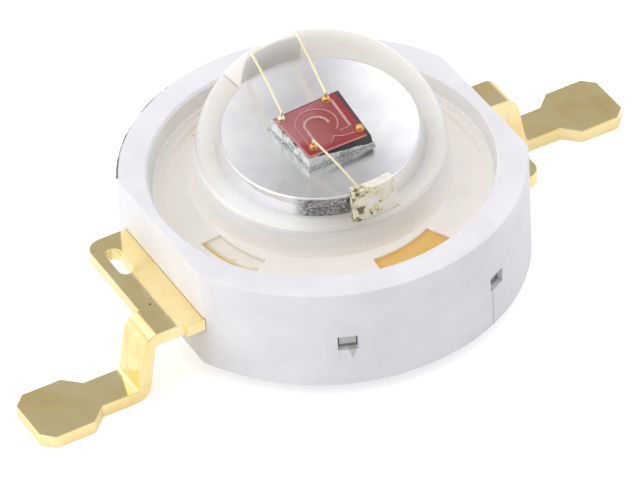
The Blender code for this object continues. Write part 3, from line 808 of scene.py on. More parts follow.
    def dark_marks(self, tree: Tree, at: Where) -> Socket:
        """Where the rim's outer edge carries its thin dark line, from 0 to 1.

        Args:
            tree: the material's tree.
            at: where the point lies.

        Returns:
            The mask's socket.
        """
        inputs = {0: at.z, 1: self.edge_height}
        level = add_node(tree, "ShaderNodeMath", inputs, operation="GREATER_THAN").outputs[0]
        inputs = {0: at.reach, 1: self.edge_radius}
        outer = add_node(tree, "ShaderNodeMath", inputs, operation="GREATER_THAN").outputs[0]
        around = self.around(tree, at)
        sectors = []
        for start, end in self.scuffed:
            inputs = {0: around, 1: math.radians(start + end) / 2, 2: math.radians(end - start) / 2}
            sectors.append(add_node(tree, "ShaderNodeMath", inputs, operation="COMPARE").outputs[0])
        patchy = spread(tree, self.grain(tree, at.place, self.dark_mark_grain, detail=6.0), 0.36, 0.50, (0.25, 0.95))
        return joined(tree, Joining.ALL, patchy, level, outer, joined(tree, Joining.ANY, *sectors))

    def shade(self, tree: Tree) -> Socket:
        """Adds the moulded white with its mottle, specks, marks, painted light and shade in the recess and round the
        collar, and mould grain.

        Args:
            tree: the material's tree.

        Returns:
            The shader's socket.
        """
        at = self.where(tree)
        tone = self.grain(tree, at.place, self.mottle, detail=4.0)
        colour = self.coated(
            tree,
            ramp(tree, tone, [(0.30, self.dull), (0.62, self.bright)]),
            # painted light in the recess
            (self.recess(tree, at), self.recess_painted_light),
            # painted light and shade round the collar's top
            self.collar(tree, at),
            (self.specks(tree, at.place, self.dust_spacing, self.dust_radius, self.dust_rarity), self.speck),
            (self.traces(tree, at), self.trace),
            (self.dark_marks(tree, at), self.dark_mark),
        )
        broad = self.relief(tree, self.grain(tree, at.place, self.sink), self.sink_depth, 0.35)
        fine = self.grain(tree, at.place, self.erosion, detail=2.0)
        inputs = {
            "Base Color": colour,
            "Roughness": spread(tree, self.grain(tree, at.place, self.sheen_grain), 0.3, 0.7, self.sheen),
            "IOR": self.ior,
            "Normal": self.relief(tree, fine, self.erosion_depth, 0.5, broad),
            "Subsurface Weight": self.scatter,
            "Subsurface Radius": self.scatter_tint,
            "Subsurface Scale": self.scatter_reach,
        }
        return add_node(tree, "ShaderNodeBsdfPrincipled", inputs).outputs["BSDF"]


@dataclass(frozen=True)
class GoldPlatedStrip(Finish):
    """Flash gold over nickel on rolled copper alloy strip: pale, near a mirror, with faint rolling lines.

    Inside the moulding the plate is matt and thin under moulding flash on the bond tabs. On the slotted lead it
    carries a painted highlight, near white, and the rear tab is painted lighter, painted light over the shade on its
    inner face.
    The tie bars' cut ends show grey metal, and a few pits go through the plate.
    """

    name: str = "gold_plated_copper_strip"
    slot: Slot = Slot.GOLD
    bright: str = "#FFEFBA"
    deep: str = "#FBE5A6"
    stain: str = "#F2D390"
    stain_grain: float = 0.9 * MM
    pit: str = "#5E5138"
    pit_spacing: float = 0.7 * MM
    pit_radius: float = 0.045
    pit_rarity: float = 0.72
    inside: str = "#F4C464"
    # Painted highlight: the near white put on the slotted lead's stretch in the recess, in place of a reflection.
    inside_painted_highlight: str = "#FFF8EE"
    inside_edge: str = "#E9C97C"
    inside_reach: float = 3.35 * MM
    inside_fade: float = 0.05 * MM
    inside_dulling: float = 0.28
    inside_metal: float = 0.04
    pale_until: float = -1.5 * MM
    pale_fade: float = 0.4 * MM
    pale_reach: float = 2.62 * MM
    pale_edge: float = 0.10 * MM
    patch_grain: float = 0.35 * MM
    thin: str = "#FDFAF4"
    thin_yellow: str = "#F1E8BE"
    flash_grain: float = 0.16 * MM
    tab_reach: float = 1.90 * MM
    tab_side: float = 0.1 * MM
    # Painted light: lifts the rear tab towards the pale flash tone, against the shade on its inner face.
    rear_tab_painted_light: float = 0.10
    # The front tab is darker towards its left end, over this stretch of x.
    front_dark_end: Point2 = (-0.26 * MM, -0.02 * MM)
    front_dark_shift: float = -0.13
    cut: str = "#A9A8A3"
    cut_reach: float = 3.30 * MM
    sharp_fade: float = 0.02 * MM
    peel: float = 0.22 * MM
    peel_depth: float = 0.0016 * MM
    rolling: float = 0.035 * MM
    rolling_depth: float = 0.0003 * MM
    rolling_stretch: Point3 = (0.06, 1.0, 1.0)
    polish: Point2 = (0.06, 0.11)
    polish_grain: float = 0.3 * MM

    def plated(self, tree: Tree, at: Where) -> Socket:
        """The plate outside the moulding, stained here and there and pitted.

        Args:
            tree: the material's tree.
            at: where the point lies.

        Returns:
            The colour's socket.
        """
        tone = self.grain(tree, at.place, self.stain_grain, detail=5.0)
        plate = ramp(tree, tone, [(0.25, self.stain), (0.42, self.deep), (0.66, self.bright)])
        pits = self.specks(tree, at.place, self.pit_spacing, self.pit_radius, self.pit_rarity)
        return self.coated(tree, plate, (pits, self.pit))

    def sheltered(self, tree: Tree, at: Where) -> Socket:
        """The plate in the recess: amber, but on the slotted lead a painted highlight, near white, with yellow at its
        outer edge and in patches.

        Args:
            tree: the material's tree.
            at: where the point lies.

        Returns:
            The colour's socket.
        """
        other = spread(tree, at.x, self.pale_until, self.pale_until + self.pale_fade)
        rim = spread(tree, at.reach, self.pale_reach, self.pale_reach + self.pale_edge)
        patches = spread(tree, self.grain(tree, at.place, self.patch_grain, detail=4.0), 0.60, 0.70, (0.0, 0.6))
        yellow = joined(tree, Joining.ANY, rim, patches)
        # the painted highlight, near white, with the yellow plate at the outer edge and in patches
        pale = ramp(tree, yellow, [(0.0, self.inside_painted_highlight), (1.0, self.inside_edge)])
        return self.coated(tree, pale, (other, self.inside))

    def pressed(self, tree: Tree, at: Where) -> Socket:
        """The bond tabs: the rear one painted lighter, painted light over the shade on its inner face, and the front
        one darker at its left end.

        Args:
            tree: the material's tree.
            at: where the point lies.

        Returns:
            The colour's socket.
        """
        rear = spread(tree, at.y, 0.0, self.tab_side, (0.0, self.rear_tab_painted_light))
        front = spread(tree, at.y, 0.0, self.tab_side, (1.0, 0.0))
        darker_end = spread(tree, at.x, *self.front_dark_end, (self.front_dark_shift, 0.0))
        left = add_node(tree, "ShaderNodeMath", {0: darker_end, 1: front}, operation="MULTIPLY").outputs[0]
        shift = add_node(tree, "ShaderNodeMath", {0: rear, 1: left}, operation="ADD").outputs[0]
        patchy = self.grain(tree, at.place, self.flash_grain, detail=5.0)
        flash = add_node(tree, "ShaderNodeMath", {0: patchy, 1: shift}, operation="ADD").outputs[0]
        return ramp(tree, flash, [(0.31, self.pit), (0.37, self.thin_yellow), (0.50, self.thin)])

    def shade(self, tree: Tree) -> Socket:
        """Adds the plated strip.

        Args:
            tree: the material's tree.

        Returns:
            The shader's socket.
        """
        at = self.where(tree)
        within = spread(tree, at.reach, self.inside_reach - self.inside_fade, self.inside_reach, (1.0, 0.0))
        bonded = spread(tree, at.reach, self.tab_reach - self.sharp_fade, self.tab_reach, (1.0, 0.0))
        aside = add_node(tree, "ShaderNodeMath", {0: at.y}, operation="ABSOLUTE").outputs[0]
        bare = spread(tree, aside, self.cut_reach, self.cut_reach + self.sharp_fade)
        colour = self.coated(
            tree,
            self.plated(tree, at),
            (within, self.sheltered(tree, at)),
            (bonded, self.pressed(tree, at)),
            (bare, self.cut),
        )
        peel = self.relief(tree, self.grain(tree, at.place, self.peel, detail=2.0), self.peel_depth, 0.4)
        lines = self.grain(tree, at.place, self.rolling, detail=2.0, stretch=self.rolling_stretch)
        polish = spread(tree, self.grain(tree, at.place, self.polish_grain), 0.3, 0.7, self.polish)
        dulled = add_node(tree, "ShaderNodeMath", {0: within, 1: self.inside_dulling}, operation="MULTIPLY").outputs[0]
        inputs = {
            "Base Color": colour,
            "Metallic": spread(tree, within, 0.0, 1.0, (1.0, self.inside_metal)),
            "Roughness": add_node(tree, "ShaderNodeMath", {0: polish, 1: dulled}, operation="ADD").outputs[0],
            "Normal": self.relief(tree, lines, self.rolling_depth, 0.4, peel),
        }
        return add_node(tree, "ShaderNodeBsdfPrincipled", inputs).outputs["BSDF"]


@dataclass(frozen=True)
class SilverPlatedSlug(Finish):
    """Bright silver plate on a cold-headed copper slug: satin on top, a mirror on the side, scuffed at the front."""

    name: str = "silver_plated_copper_slug"
    slot: Slot = Slot.SILVER
    bright: str = "#F6F6F9"
    dull: str = "#E9E8EE"
    tone_grain: float = 0.5 * MM
    dark_mark: str = "#454345"
    dark_mark_grain: float = 0.05 * MM
    scuff_stretch: Point3 = (1.0, 1.0, 1.6)
    scuff_middle: float = math.radians(244.0)
    scuff_share: float = 0.925
    scuff_fade: float = 0.05
    shoulder: float = 2.965 * MM
    shoulder_fade: float = 0.01 * MM
    roughness: Point2 = (0.25, 0.08)
    ripple: float = 0.35 * MM
    ripple_depth: float = 0.0010 * MM
    satin: float = 0.03 * MM
    satin_depth: float = 0.0003 * MM

    def dark_marks(self, tree: Tree, at: Where, side: Socket) -> Socket:
        """Where the side is scuffed, round its front only, from 0 to 1.

        Args:
            tree: the material's tree.
            at: where the point lies.
            side: the mask of the slug's side.

        Returns:
            The mask's socket.
        """
        outward = add_node(tree, "ShaderNodeVectorMath", {0: at.flat}, operation="NORMALIZE").outputs["Vector"]
        inputs = {0: outward, 1: (math.cos(self.scuff_middle), math.sin(self.scuff_middle), 0.0)}
        facing = add_node(tree, "ShaderNodeVectorMath", inputs, operation="DOT_PRODUCT").outputs["Value"]
        near = spread(tree, facing, self.scuff_share, self.scuff_share + self.scuff_fade)
        patches = self.grain(tree, at.place, self.dark_mark_grain, detail=4.0, stretch=self.scuff_stretch)
        return joined(tree, Joining.ALL, spread(tree, patches, 0.40, 0.60, (0.5, 1.0)), side, near)

    def shade(self, tree: Tree) -> Socket:
        """Adds the plated slug.

        Args:
            tree: the material's tree.

        Returns:
            The shader's socket.
        """
        at = self.where(tree)
        side = spread(tree, at.z, self.shoulder - self.shoulder_fade, self.shoulder + self.shoulder_fade, (1.0, 0.0))
        tone = self.grain(tree, at.place, self.tone_grain, detail=4.0)
        plate = ramp(tree, tone, [(0.3, self.dull), (0.7, self.bright)])
        ripple = self.relief(tree, self.grain(tree, at.place, self.ripple, detail=2.0), self.ripple_depth, 0.3)
        satin = self.grain(tree, at.place, self.satin, detail=2.0)
        inputs = {
            "Base Color": self.coated(tree, plate, (self.dark_marks(tree, at, side), self.dark_mark)),
            "Metallic": 1.0,
            "Roughness": spread(tree, side, 0.0, 1.0, self.roughness),
            "Normal": self.relief(tree, satin, self.satin_depth, 0.4, ripple),
        }
        return add_node(tree, "ShaderNodeBsdfPrincipled", inputs).outputs["BSDF"]


@dataclass(frozen=True)
class GrainyFinish(Finish):
    """A surface whose grain shows both in its tone and in its relief."""

    deep: str
    pale: str
    tones: Point2
    crystal: float
    crystal_depth: float
    relief_share: float
    metallic: float
    roughness: float

    def shade(self, tree: Tree) -> Socket:
        """Adds the grain, its two tones and its relief.

        Args:
            tree: the material's tree.

        Returns:
            The shader's socket.
        """
        tone = self.grain(tree, self.place(tree), self.crystal)
        inputs = {
            "Base Color": ramp(tree, tone, list(zip(self.tones, (self.deep, self.pale)))),
            "Metallic": self.metallic,
            "Roughness": self.roughness,
            "Normal": self.relief(tree, tone, self.crystal_depth, self.relief_share),
        }
        return add_node(tree, "ShaderNodeBsdfPrincipled", inputs).outputs["BSDF"]


@dataclass(frozen=True)
class SilverFilledEpoxy(GrainyFinish):
    """Silver-filled epoxy: grey paste with flakes that glint, cured rough."""

    name: str = "epoxy_silver_filled"
    slot: Slot = Slot.ADHESIVE
    deep: str = "#A4A9A7"
    pale: str = "#DDE0DE"
    tones: Point2 = (0.35, 0.62)
    crystal: float = 0.035 * MM
    crystal_depth: float = 0.008 * MM
    relief_share: float = 0.8
    metallic: float = 0.55
    roughness: float = 0.42


@dataclass(frozen=True)
class SawnSemiconductor(Finish):
    """Diced substrate: glassy pale grey-green below, with a painted dark reflection, near black, that widens towards
    one end.
    """

    name: str = "gallium_arsenide_sawn"
    slot: Slot = Slot.SUBSTRATE
    dark: str = "#0D0B0B"
    cast: str = "#251F1C"
    cast_grain: float = 0.10 * MM
    pale: str = "#E4E8E6"
    shade_line: str = "#98A29E"
    pale_grain: float = 0.14 * MM
    low: float = 3.028 * MM
    high: float = 3.188 * MM
    left: float = -0.45 * MM
    right: float = 0.58 * MM
    # Painted reflection: where the near black starts up the side, at the left and at the right, in place of dark
    # reflections in the glassy side.
    reflection_start: Point2 = (1.08, 0.20)
    reflection_fade: float = 0.05
    wander: float = 0.14
    wander_grain: float = 0.22 * MM
    saw: float = 0.02 * MM
    saw_depth: float = 0.0015 * MM
    saw_stretch: Point3 = (1.0, 1.0, 0.15)
    roughness: float = 0.20
    specular: float = 0.35

    def shade(self, tree: Tree) -> Socket:
        """Adds the sawn side, with the painted dark reflection above a line that falls from left to right.

        Args:
            tree: the material's tree.

        Returns:
            The shader's socket.
        """
        place = self.place(tree)
        split = add_node(tree, "ShaderNodeSeparateXYZ", {"Vector": place})
        share = spread(tree, split.outputs["Z"], self.low, self.high)
        uneven = spread(tree, self.grain(tree, place, self.wander_grain), 0.3, 0.7, (-self.wander, self.wander))
        level = add_node(tree, "ShaderNodeMath", {0: share, 1: uneven}, operation="ADD").outputs[0]
        start = spread(tree, split.outputs["X"], self.left, self.right, self.reflection_start)
        over = add_node(tree, "ShaderNodeMath", {0: level, 1: start}, operation="SUBTRACT").outputs[0]
        # the painted dark reflection, near black, above the line
        layer = spread(tree, over, -self.reflection_fade, self.reflection_fade)
        dark_tone = self.grain(tree, place, self.cast_grain, detail=4.0)
        pale_tone = self.grain(tree, place, self.pale_grain, detail=4.0)
        black = ramp(tree, dark_tone, [(0.35, self.dark), (0.7, self.cast)])
        glass = ramp(tree, pale_tone, [(0.38, self.shade_line), (0.52, self.pale)])
        marks = self.grain(tree, place, self.saw, detail=2.0, stretch=self.saw_stretch)
        inputs = {
            "Base Color": self.coated(tree, glass, (layer, black)),
            "Roughness": self.roughness,
            "Specular IOR Level": self.specular,
            "Normal": self.relief(tree, marks, self.saw_depth, 0.4),
        }
        return add_node(tree, "ShaderNodeBsdfPrincipled", inputs).outputs["BSDF"]


@dataclass(frozen=True)
class RedEmitterFace(Finish):
    """Phosphide light-emitting layer: rose over most of the face, crimson past the edge track and in the near corner.

    A pale mesa line runs along the two near edges, and a dusky one along the others. Each zone's ends are shares of
    the half side, and each line's are distances in from its edge.
    """

    name: str = "gallium_indium_phosphide_face"
    slot: Slot = Slot.EMITTER
    rose: str = "#AE636B"
    middle: str = "#983837"
    crimson: str = "#A0000E"
    mesa: str = "#C98480"
    dusk: str = "#4A1B2A"
    half: float = CHIP_SIDE / 2
    wander: float = 0.06 * MM
    wander_grain: float = 0.4 * MM
    rear_zone: Point2 = (0.30, 0.90)
    rear_shift: float = 0.9
    strip_zone: Point2 = (0.70, 0.74)
    front_zone: Point2 = (-0.95, -0.60)
    low_zone: Point2 = (-0.48, -0.20)
    left_zone: Point2 = (-0.70, -0.45)
    mesa_line: Point2 = (0.020 * MM, 0.028 * MM)
    right_line: Point2 = (0.048 * MM, 0.040 * MM)
    rear_line: Point2 = (0.026 * MM, 0.020 * MM)
    rear_line_share: float = 0.55
    texture: float = 0.02 * MM
    texture_depth: float = 0.0008 * MM
    roughness: float = 0.40
    specular: float = 0.15

    def zone(self, tree: Tree, value: Socket, ends: Point2, to: Point2 = (0.0, 1.0)) -> Socket:
        """Maps a place on the face between two shares of its half side."""
        return spread(tree, value, self.half * ends[0], self.half * ends[1], to)

    def tint(self, tree: Tree, place: Socket, across: Socket, along: Socket) -> Socket:
        """The face's change from rose to a deeper red, less so towards the rear.

        Args:
            tree: the material's tree.
            place: the place on the object.
            across: the place across the face, from its middle.
            along: the place along it.

        Returns:
            The colour's socket.
        """
        uneven = spread(tree, self.grain(tree, place, self.wander_grain), 0.3, 0.7, (-self.wander, self.wander))
        shifted = add_node(tree, "ShaderNodeMath", {0: across, 1: uneven}, operation="ADD").outputs[0]
        rear = self.zone(tree, along, self.rear_zone, (0.0, self.half * self.rear_shift))
        held = add_node(tree, "ShaderNodeMath", {0: shifted, 1: rear}, operation="SUBTRACT").outputs[0]
        return ramp(tree, self.zone(tree, held, (-1.0, 1.0)), [(0.10, self.rose), (0.58, self.middle)])

    def shade(self, tree: Tree) -> Socket:
        """Adds the face with its zones of colour and the lines round its edge.

        Args:
            tree: the material's tree.

        Returns:
            The shader's socket.
        """
        place = self.place(tree)
        inputs = {"Vector": place, "Location": (-CHIP_CENTRE[0], -CHIP_CENTRE[1], 0.0)}
        moved = add_node(tree, "ShaderNodeMapping", inputs).outputs["Vector"]
        across, along, _ = add_node(tree, "ShaderNodeSeparateXYZ", {"Vector": moved}).outputs
        strip = self.zone(tree, across, self.strip_zone)
        front = self.zone(tree, along, self.front_zone, (1.0, 0.0))
        low = self.zone(tree, along, self.low_zone, (1.0, 0.0))
        left = self.zone(tree, across, self.left_zone, (1.0, 0.0))
        near = joined(tree, Joining.ANY, front, joined(tree, Joining.ALL, low, left))
        start, end = (inset - self.half for inset in self.mesa_line)
        pale = joined(tree, Joining.ANY, *(spread(tree, line, start, end, (1.0, 0.0)) for line in (across, along)))
        right_line = spread(tree, across, *(self.half - inset for inset in self.right_line))
        rear_line = spread(tree, along, *(self.half - inset for inset in self.rear_line), (0.0, self.rear_line_share))
        colour = self.coated(
            tree,
            self.tint(tree, place, across, along),
            (strip, self.crimson),
            (near, self.crimson),
            (pale, self.mesa),
            (joined(tree, Joining.ANY, right_line, rear_line), self.dusk),
        )
        inputs = {
            "Base Color": colour,
            "Roughness": self.roughness,
            "Specular IOR Level": self.specular,
            "Normal": self.relief(tree, self.grain(tree, place, self.texture), self.texture_depth, 0.5),
        }
        return add_node(tree, "ShaderNodeBsdfPrincipled", inputs).outputs["BSDF"]


@dataclass(frozen=True)
class EvaporatedElectrode(GrainyFinish):
    """A thin evaporated contact: pale rose metal with a fine grain."""

    name: str = "electrode_evaporated_film"
    slot: Slot = Slot.ELECTRODE
    deep: str = "#CC948F"
    pale: str = "#E0B0AC"
    tones: Point2 = (0.35, 0.65)
    crystal: float = 0.05 * MM
    crystal_depth: float = 0.001 * MM
    relief_share: float = 0.5
    metallic: float = 0.5
    roughness: float = 0.38


@dataclass(frozen=True)
class BareGold(GrainyFinish):
    """Soft bond gold: rich and granular on the pads and balls, paler and drawn smooth on the wires."""

    name: str = "gold_bond_pad"
    slot: Slot = Slot.BOND
    deep: str = "#E2A041"
    pale: str = "#FECC66"
    tones: Point2 = (0.35, 0.62)
    crystal: float = 0.030 * MM
    crystal_depth: float = 0.004 * MM
    relief_share: float = 0.7
    metallic: float = 1.0
    roughness: float = 0.30


@dataclass(frozen=True)
class ClearMoulding(Finish):
    """Optical polycarbonate, polished mould: clear, with a slight waviness, bending light by its own index.

    The surface that meets the gel has the ratio of the two indices, because no air lies between them.
    Lamps and scattered light pass straight through, so what is inside is lit as under a clear lens.
    """

    name: str = "polycarbonate_clear_outer"
    slot: Slot = Slot.LENS
    ior: float = 1.53
    wave: float = 0.7 * MM
    wave_depth: float = 0.0012 * MM
    tint: str = "#FDFDFC"
    loss: str = "#FCFCFB"

    def shade(self, tree: Tree) -> Socket:
        """Adds the clear surface.

        Args:
            tree: the material's tree.

        Returns:
            The shader's socket.
        """
        waves = self.grain(tree, self.place(tree), self.wave, detail=2.0)
        inputs = {
            "Base Color": linear(self.tint),
            "Roughness": 0.0,
            "IOR": self.ior,
            "Transmission Weight": 1.0,
            "Normal": self.relief(tree, waves, self.wave_depth, 0.5),
        }
        glass = add_node(tree, "ShaderNodeBsdfPrincipled", inputs).outputs["BSDF"]
        through = add_node(tree, "ShaderNodeBsdfTransparent", {"Color": linear(self.loss)}).outputs["BSDF"]
        path = add_node(tree, "ShaderNodeLightPath").outputs
        lit = joined(tree, Joining.ANY, path["Is Shadow Ray"], path["Is Diffuse Ray"])
        return add_node(tree, "ShaderNodeMixShader", {"Fac": lit, 1: glass, 2: through}).outputs["Shader"]


@dataclass(frozen=True)
class SoftSilicone(Finish):
    """Clear silicone gel that wets all that it touches, so its own surface hardly shows."""

    name: str = "silicone_gel_clear"
    slot: Slot = Slot.GEL
    cloud: str = "#FBF6EF"
    cloud_share: float = 0.03
    cloud_grain: float = 0.6 * MM
    cloud_roughness: float = 0.5

    def shade(self, tree: Tree) -> Socket:
        """Adds the gel.

        Args:
            tree: the material's tree.

        Returns:
            The shader's socket.
        """
        cloudy = self.grain(tree, self.place(tree), self.cloud_grain)
        amount = spread(tree, cloudy, 0.50, 0.75, (0.0, self.cloud_share))
        clear = add_node(tree, "ShaderNodeBsdfTransparent").outputs["BSDF"]
        inputs = {"Base Color": linear(self.cloud), "Roughness": self.cloud_roughness}
        milky = add_node(tree, "ShaderNodeBsdfPrincipled", inputs).outputs["BSDF"]
        return add_node(tree, "ShaderNodeMixShader", {"Fac": amount, 1: clear, 2: milky}).outputs["Shader"]


# Skins ------------------------------------------------------------------------------------------------------


def publish(name: str, mesh: bpy.types.Mesh, finish: Finish, *nodes: str) -> bpy.types.Object:
    """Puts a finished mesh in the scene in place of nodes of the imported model.

    Args:
        name: the piece's name.
        mesh: its mesh, in place.
        finish: its finish; a mesh that is painted already keeps its own materials.
        nodes: the nodes that it stands for.

    Returns:
        The piece.
    """
    if not mesh.materials or mesh.materials[0] is None:
        mesh.materials.clear()
        mesh.materials.append(finish.material())
    piece = linked(name, mesh)
    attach(piece, BODY)
    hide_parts(*nodes)
    LOG.info("%s: %d faces, finish %s", name, len(mesh.polygons), finish.name)
    return piece


def skin_of(node: bpy.types.Object, edge_round: float = 0.0) -> bpy.types.Mesh:
    """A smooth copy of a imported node's mesh, with its flat faces whole again.

    Args:
        node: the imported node.
        edge_round: the width of the rounding on its sharp edges.

    Returns:
        The copy, welded and shaded.
    """
    mesh = node.data.copy()
    mesh.materials.clear()
    work = bmesh.new()
    work.from_mesh(mesh)
    bmesh.ops.remove_doubles(work, verts=work.verts, dist=WELD)
    bmesh.ops.dissolve_limit(
        work, angle_limit=FLAT_WITHIN, verts=work.verts, edges=work.edges, use_dissolve_boundaries=False
    )
    work.to_mesh(mesh)
    work.free()
    for attribute in list(mesh.attributes):
        if attribute.name.startswith("custom_normal"):
            mesh.attributes.remove(attribute)
    mesh.shade_smooth()
    mesh.set_sharp_from_angle(angle=Shading.CRISP.value)
    carrier = linked("skin", mesh)
    if edge_round:
        rounding = carrier.modifiers.new("round", "BEVEL")
        rounding.width = edge_round
        rounding.segments = ROUND_STEPS
        rounding.limit_method = "ANGLE"
        rounding.angle_limit = Shading.CRISP.value
        rounding.use_clamp_overlap = True
        rounding.harden_normals = False
    weighting = carrier.modifiers.new("weigh", "WEIGHTED_NORMAL")
    weighting.keep_sharp = True
    return evaluated(carrier)


def painted_parts(name: str, parts: list[tuple[bpy.types.Mesh, Finish]]) -> bpy.types.Mesh:
    """Joins meshes in one, and gives each its own finish.

    Args:
        name: the new mesh's name.
        parts: each mesh with its finish.

    Returns:
        The joined mesh, welded and shaded.
    """
    work = bmesh.new()
    for index, (part, _) in enumerate(parts):
        before = len(work.faces)
        work.from_mesh(part)
        work.faces.ensure_lookup_table()
        for face in work.faces[before:]:
            face.material_index = index
    mesh = written(name, work)
    for _, finish in parts:
        mesh.materials.append(finish.material())
    return clean(mesh)


# Sub-assemblies ---------------------------------------------------------------------------------------------


@dataclass
class Housing:
    """The white moulding."""

    finish: MouldedPolyphthalamide = MouldedPolyphthalamide()

    def build(self, nodes: dict[str, bpy.types.Object]) -> None:
        """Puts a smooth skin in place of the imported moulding.

        Args:
            nodes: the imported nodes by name.
        """
        publish("housing_moulding", skin_of(nodes["housing"]), self.finish, "housing")


@dataclass
class LeadFrame:
    """Both stamped and bent leads."""

    finish: GoldPlatedStrip = GoldPlatedStrip()
    edge_round: float = 0.018 * MM
    names: tuple[str, ...] = ("lead_slotted", "lead_plain")

    def build(self, nodes: dict[str, bpy.types.Object]) -> None:
        """Puts a skin with rounded edges in place of each packed lead.

        Args:
            nodes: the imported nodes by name.
        """
        for name in self.names:
            publish(name + "_plated", skin_of(nodes[name], self.edge_round), self.finish, name)


@dataclass
class HeatSlug:
    """The turned slug, from its pedestal's top down to its base."""

    finish: SilverPlatedSlug = SilverPlatedSlug()
    top: float = 3.0 * MM
    pedestal: float = 1.474 * MM
    edge: float = 0.035 * MM
    edge_steps: int = 6
    shoulder: Point2 = (2.75 * MM, 0.98 * MM)
    groove: Point3 = (2.60 * MM, 0.60 * MM, 0.80 * MM)
    base: float = 2.90 * MM
    foot_edge: float = 0.05 * MM
    foot_steps: int = 4
    steps: int = 192

    def profile(self) -> list[Point2]:
        """The slug's outline from the middle of its top to the middle of its base.

        Returns:
            Its points, each by radius and height.
        """
        radius, low, high = self.groove
        edge_middle = (self.pedestal - self.edge, self.top - self.edge)
        foot_middle = (self.base - self.foot_edge, self.foot_edge)
        return (
            [(0.0, self.top), (self.pedestal * 0.5, self.top)]
            + arc(edge_middle, self.edge, math.pi / 2, 0.0, self.edge_steps)
            + [(self.pedestal, self.shoulder[1]), self.shoulder, (self.shoulder[0], high), (radius, high)]
            + [(radius, low), (self.base, low)]
            + arc(foot_middle, self.foot_edge, 0.0, -math.pi / 2, self.foot_steps)
            + [(0.0, 0.0)]
        )

    def build(self) -> None:
        """Turns the slug."""
        line = polyline("slug_profile", [(x, 0.0, z) for x, z in self.profile()])
        mesh = TurnTree().run(line, self.finish.material(), Steps=self.steps)
        publish("heat_slug_plated", clean(mesh), self.finish, "heat_slug")


@dataclass
class Optics:
    """The clear lens and the gel under it."""

    outer: ClearMoulding = ClearMoulding()
    inner: ClearMoulding = ClearMoulding(name="polycarbonate_to_gel", ior=1.53 / 1.41, wave_depth=0.0008 * MM)
    gel: SoftSilicone = SoftSilicone()
    centre: float = 2.68 * MM
    radius: float = 2.50 * MM
    cavity: float = 2.20 * MM
    fillet: float = 0.12 * MM
    fillet_steps: int = 8
    flange_radius: float = 3.30 * MM
    flange_low: float = 1.85 * MM
    flange_high: float = 2.27 * MM
    flange_edge: float = 0.05 * MM
    flange_steps: int = 4
    steps: int = 224
    arc_steps: int = 56

    def quarter(self, radius: float) -> list[Point2]:
        """A quarter circle from the top of the dome to its side.

        Args:
            radius: the circle's radius.

        Returns:
            Its points, each by radius and height, with the first right on the axis.
        """
        points = arc((0.0, self.centre), radius, math.pi / 2, 0.0, self.arc_steps)
        points[0] = (0.0, self.centre + radius)
        return points

    def outside(self) -> list[Point2]:
        """The dome, its fillet and the flange, down to the flange's lower edge.

        Returns:
            The points, each by radius and height.
        """
        fillet_middle = (self.radius + self.fillet, self.flange_high + self.fillet)
        turn = arc(fillet_middle, self.fillet, math.pi, 1.5 * math.pi, self.fillet_steps)
        edge_middle = (self.flange_radius - self.flange_edge, self.flange_high - self.flange_edge)
        edge = arc(edge_middle, self.flange_edge, math.pi / 2, 0.0, self.flange_steps)
        return self.quarter(self.radius) + turn + edge + [(self.flange_radius, self.flange_low)]

    def inside(self) -> list[Point2]:
        """The flange's underside and the cavity, up to its top."""
        corner = (self.flange_radius, self.flange_low)
        return [corner, (self.cavity, self.flange_low)] + self.quarter(self.cavity)[::-1]

    def build_lens(self) -> None:
        """Turns the two optical surfaces and joins them in one closed lens."""
        parts = []
        for outline, finish in ((self.outside(), self.outer), (self.inside(), self.inner)):
            line = polyline("lens_profile", [(x, 0.0, z) for x, z in outline])
            parts.append((TurnTree().run(line, finish.material(), Steps=self.steps), finish))
        publish("lens_clear", painted_parts("lens", parts), self.outer, "lens")

    def build(self, nodes: dict[str, bpy.types.Object]) -> None:
        """Builds the lens and the gel.

        Args:
            nodes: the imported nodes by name.
        """
        self.build_lens()
        publish("gel_filling", skin_of(nodes["gel"]), self.gel, "gel")


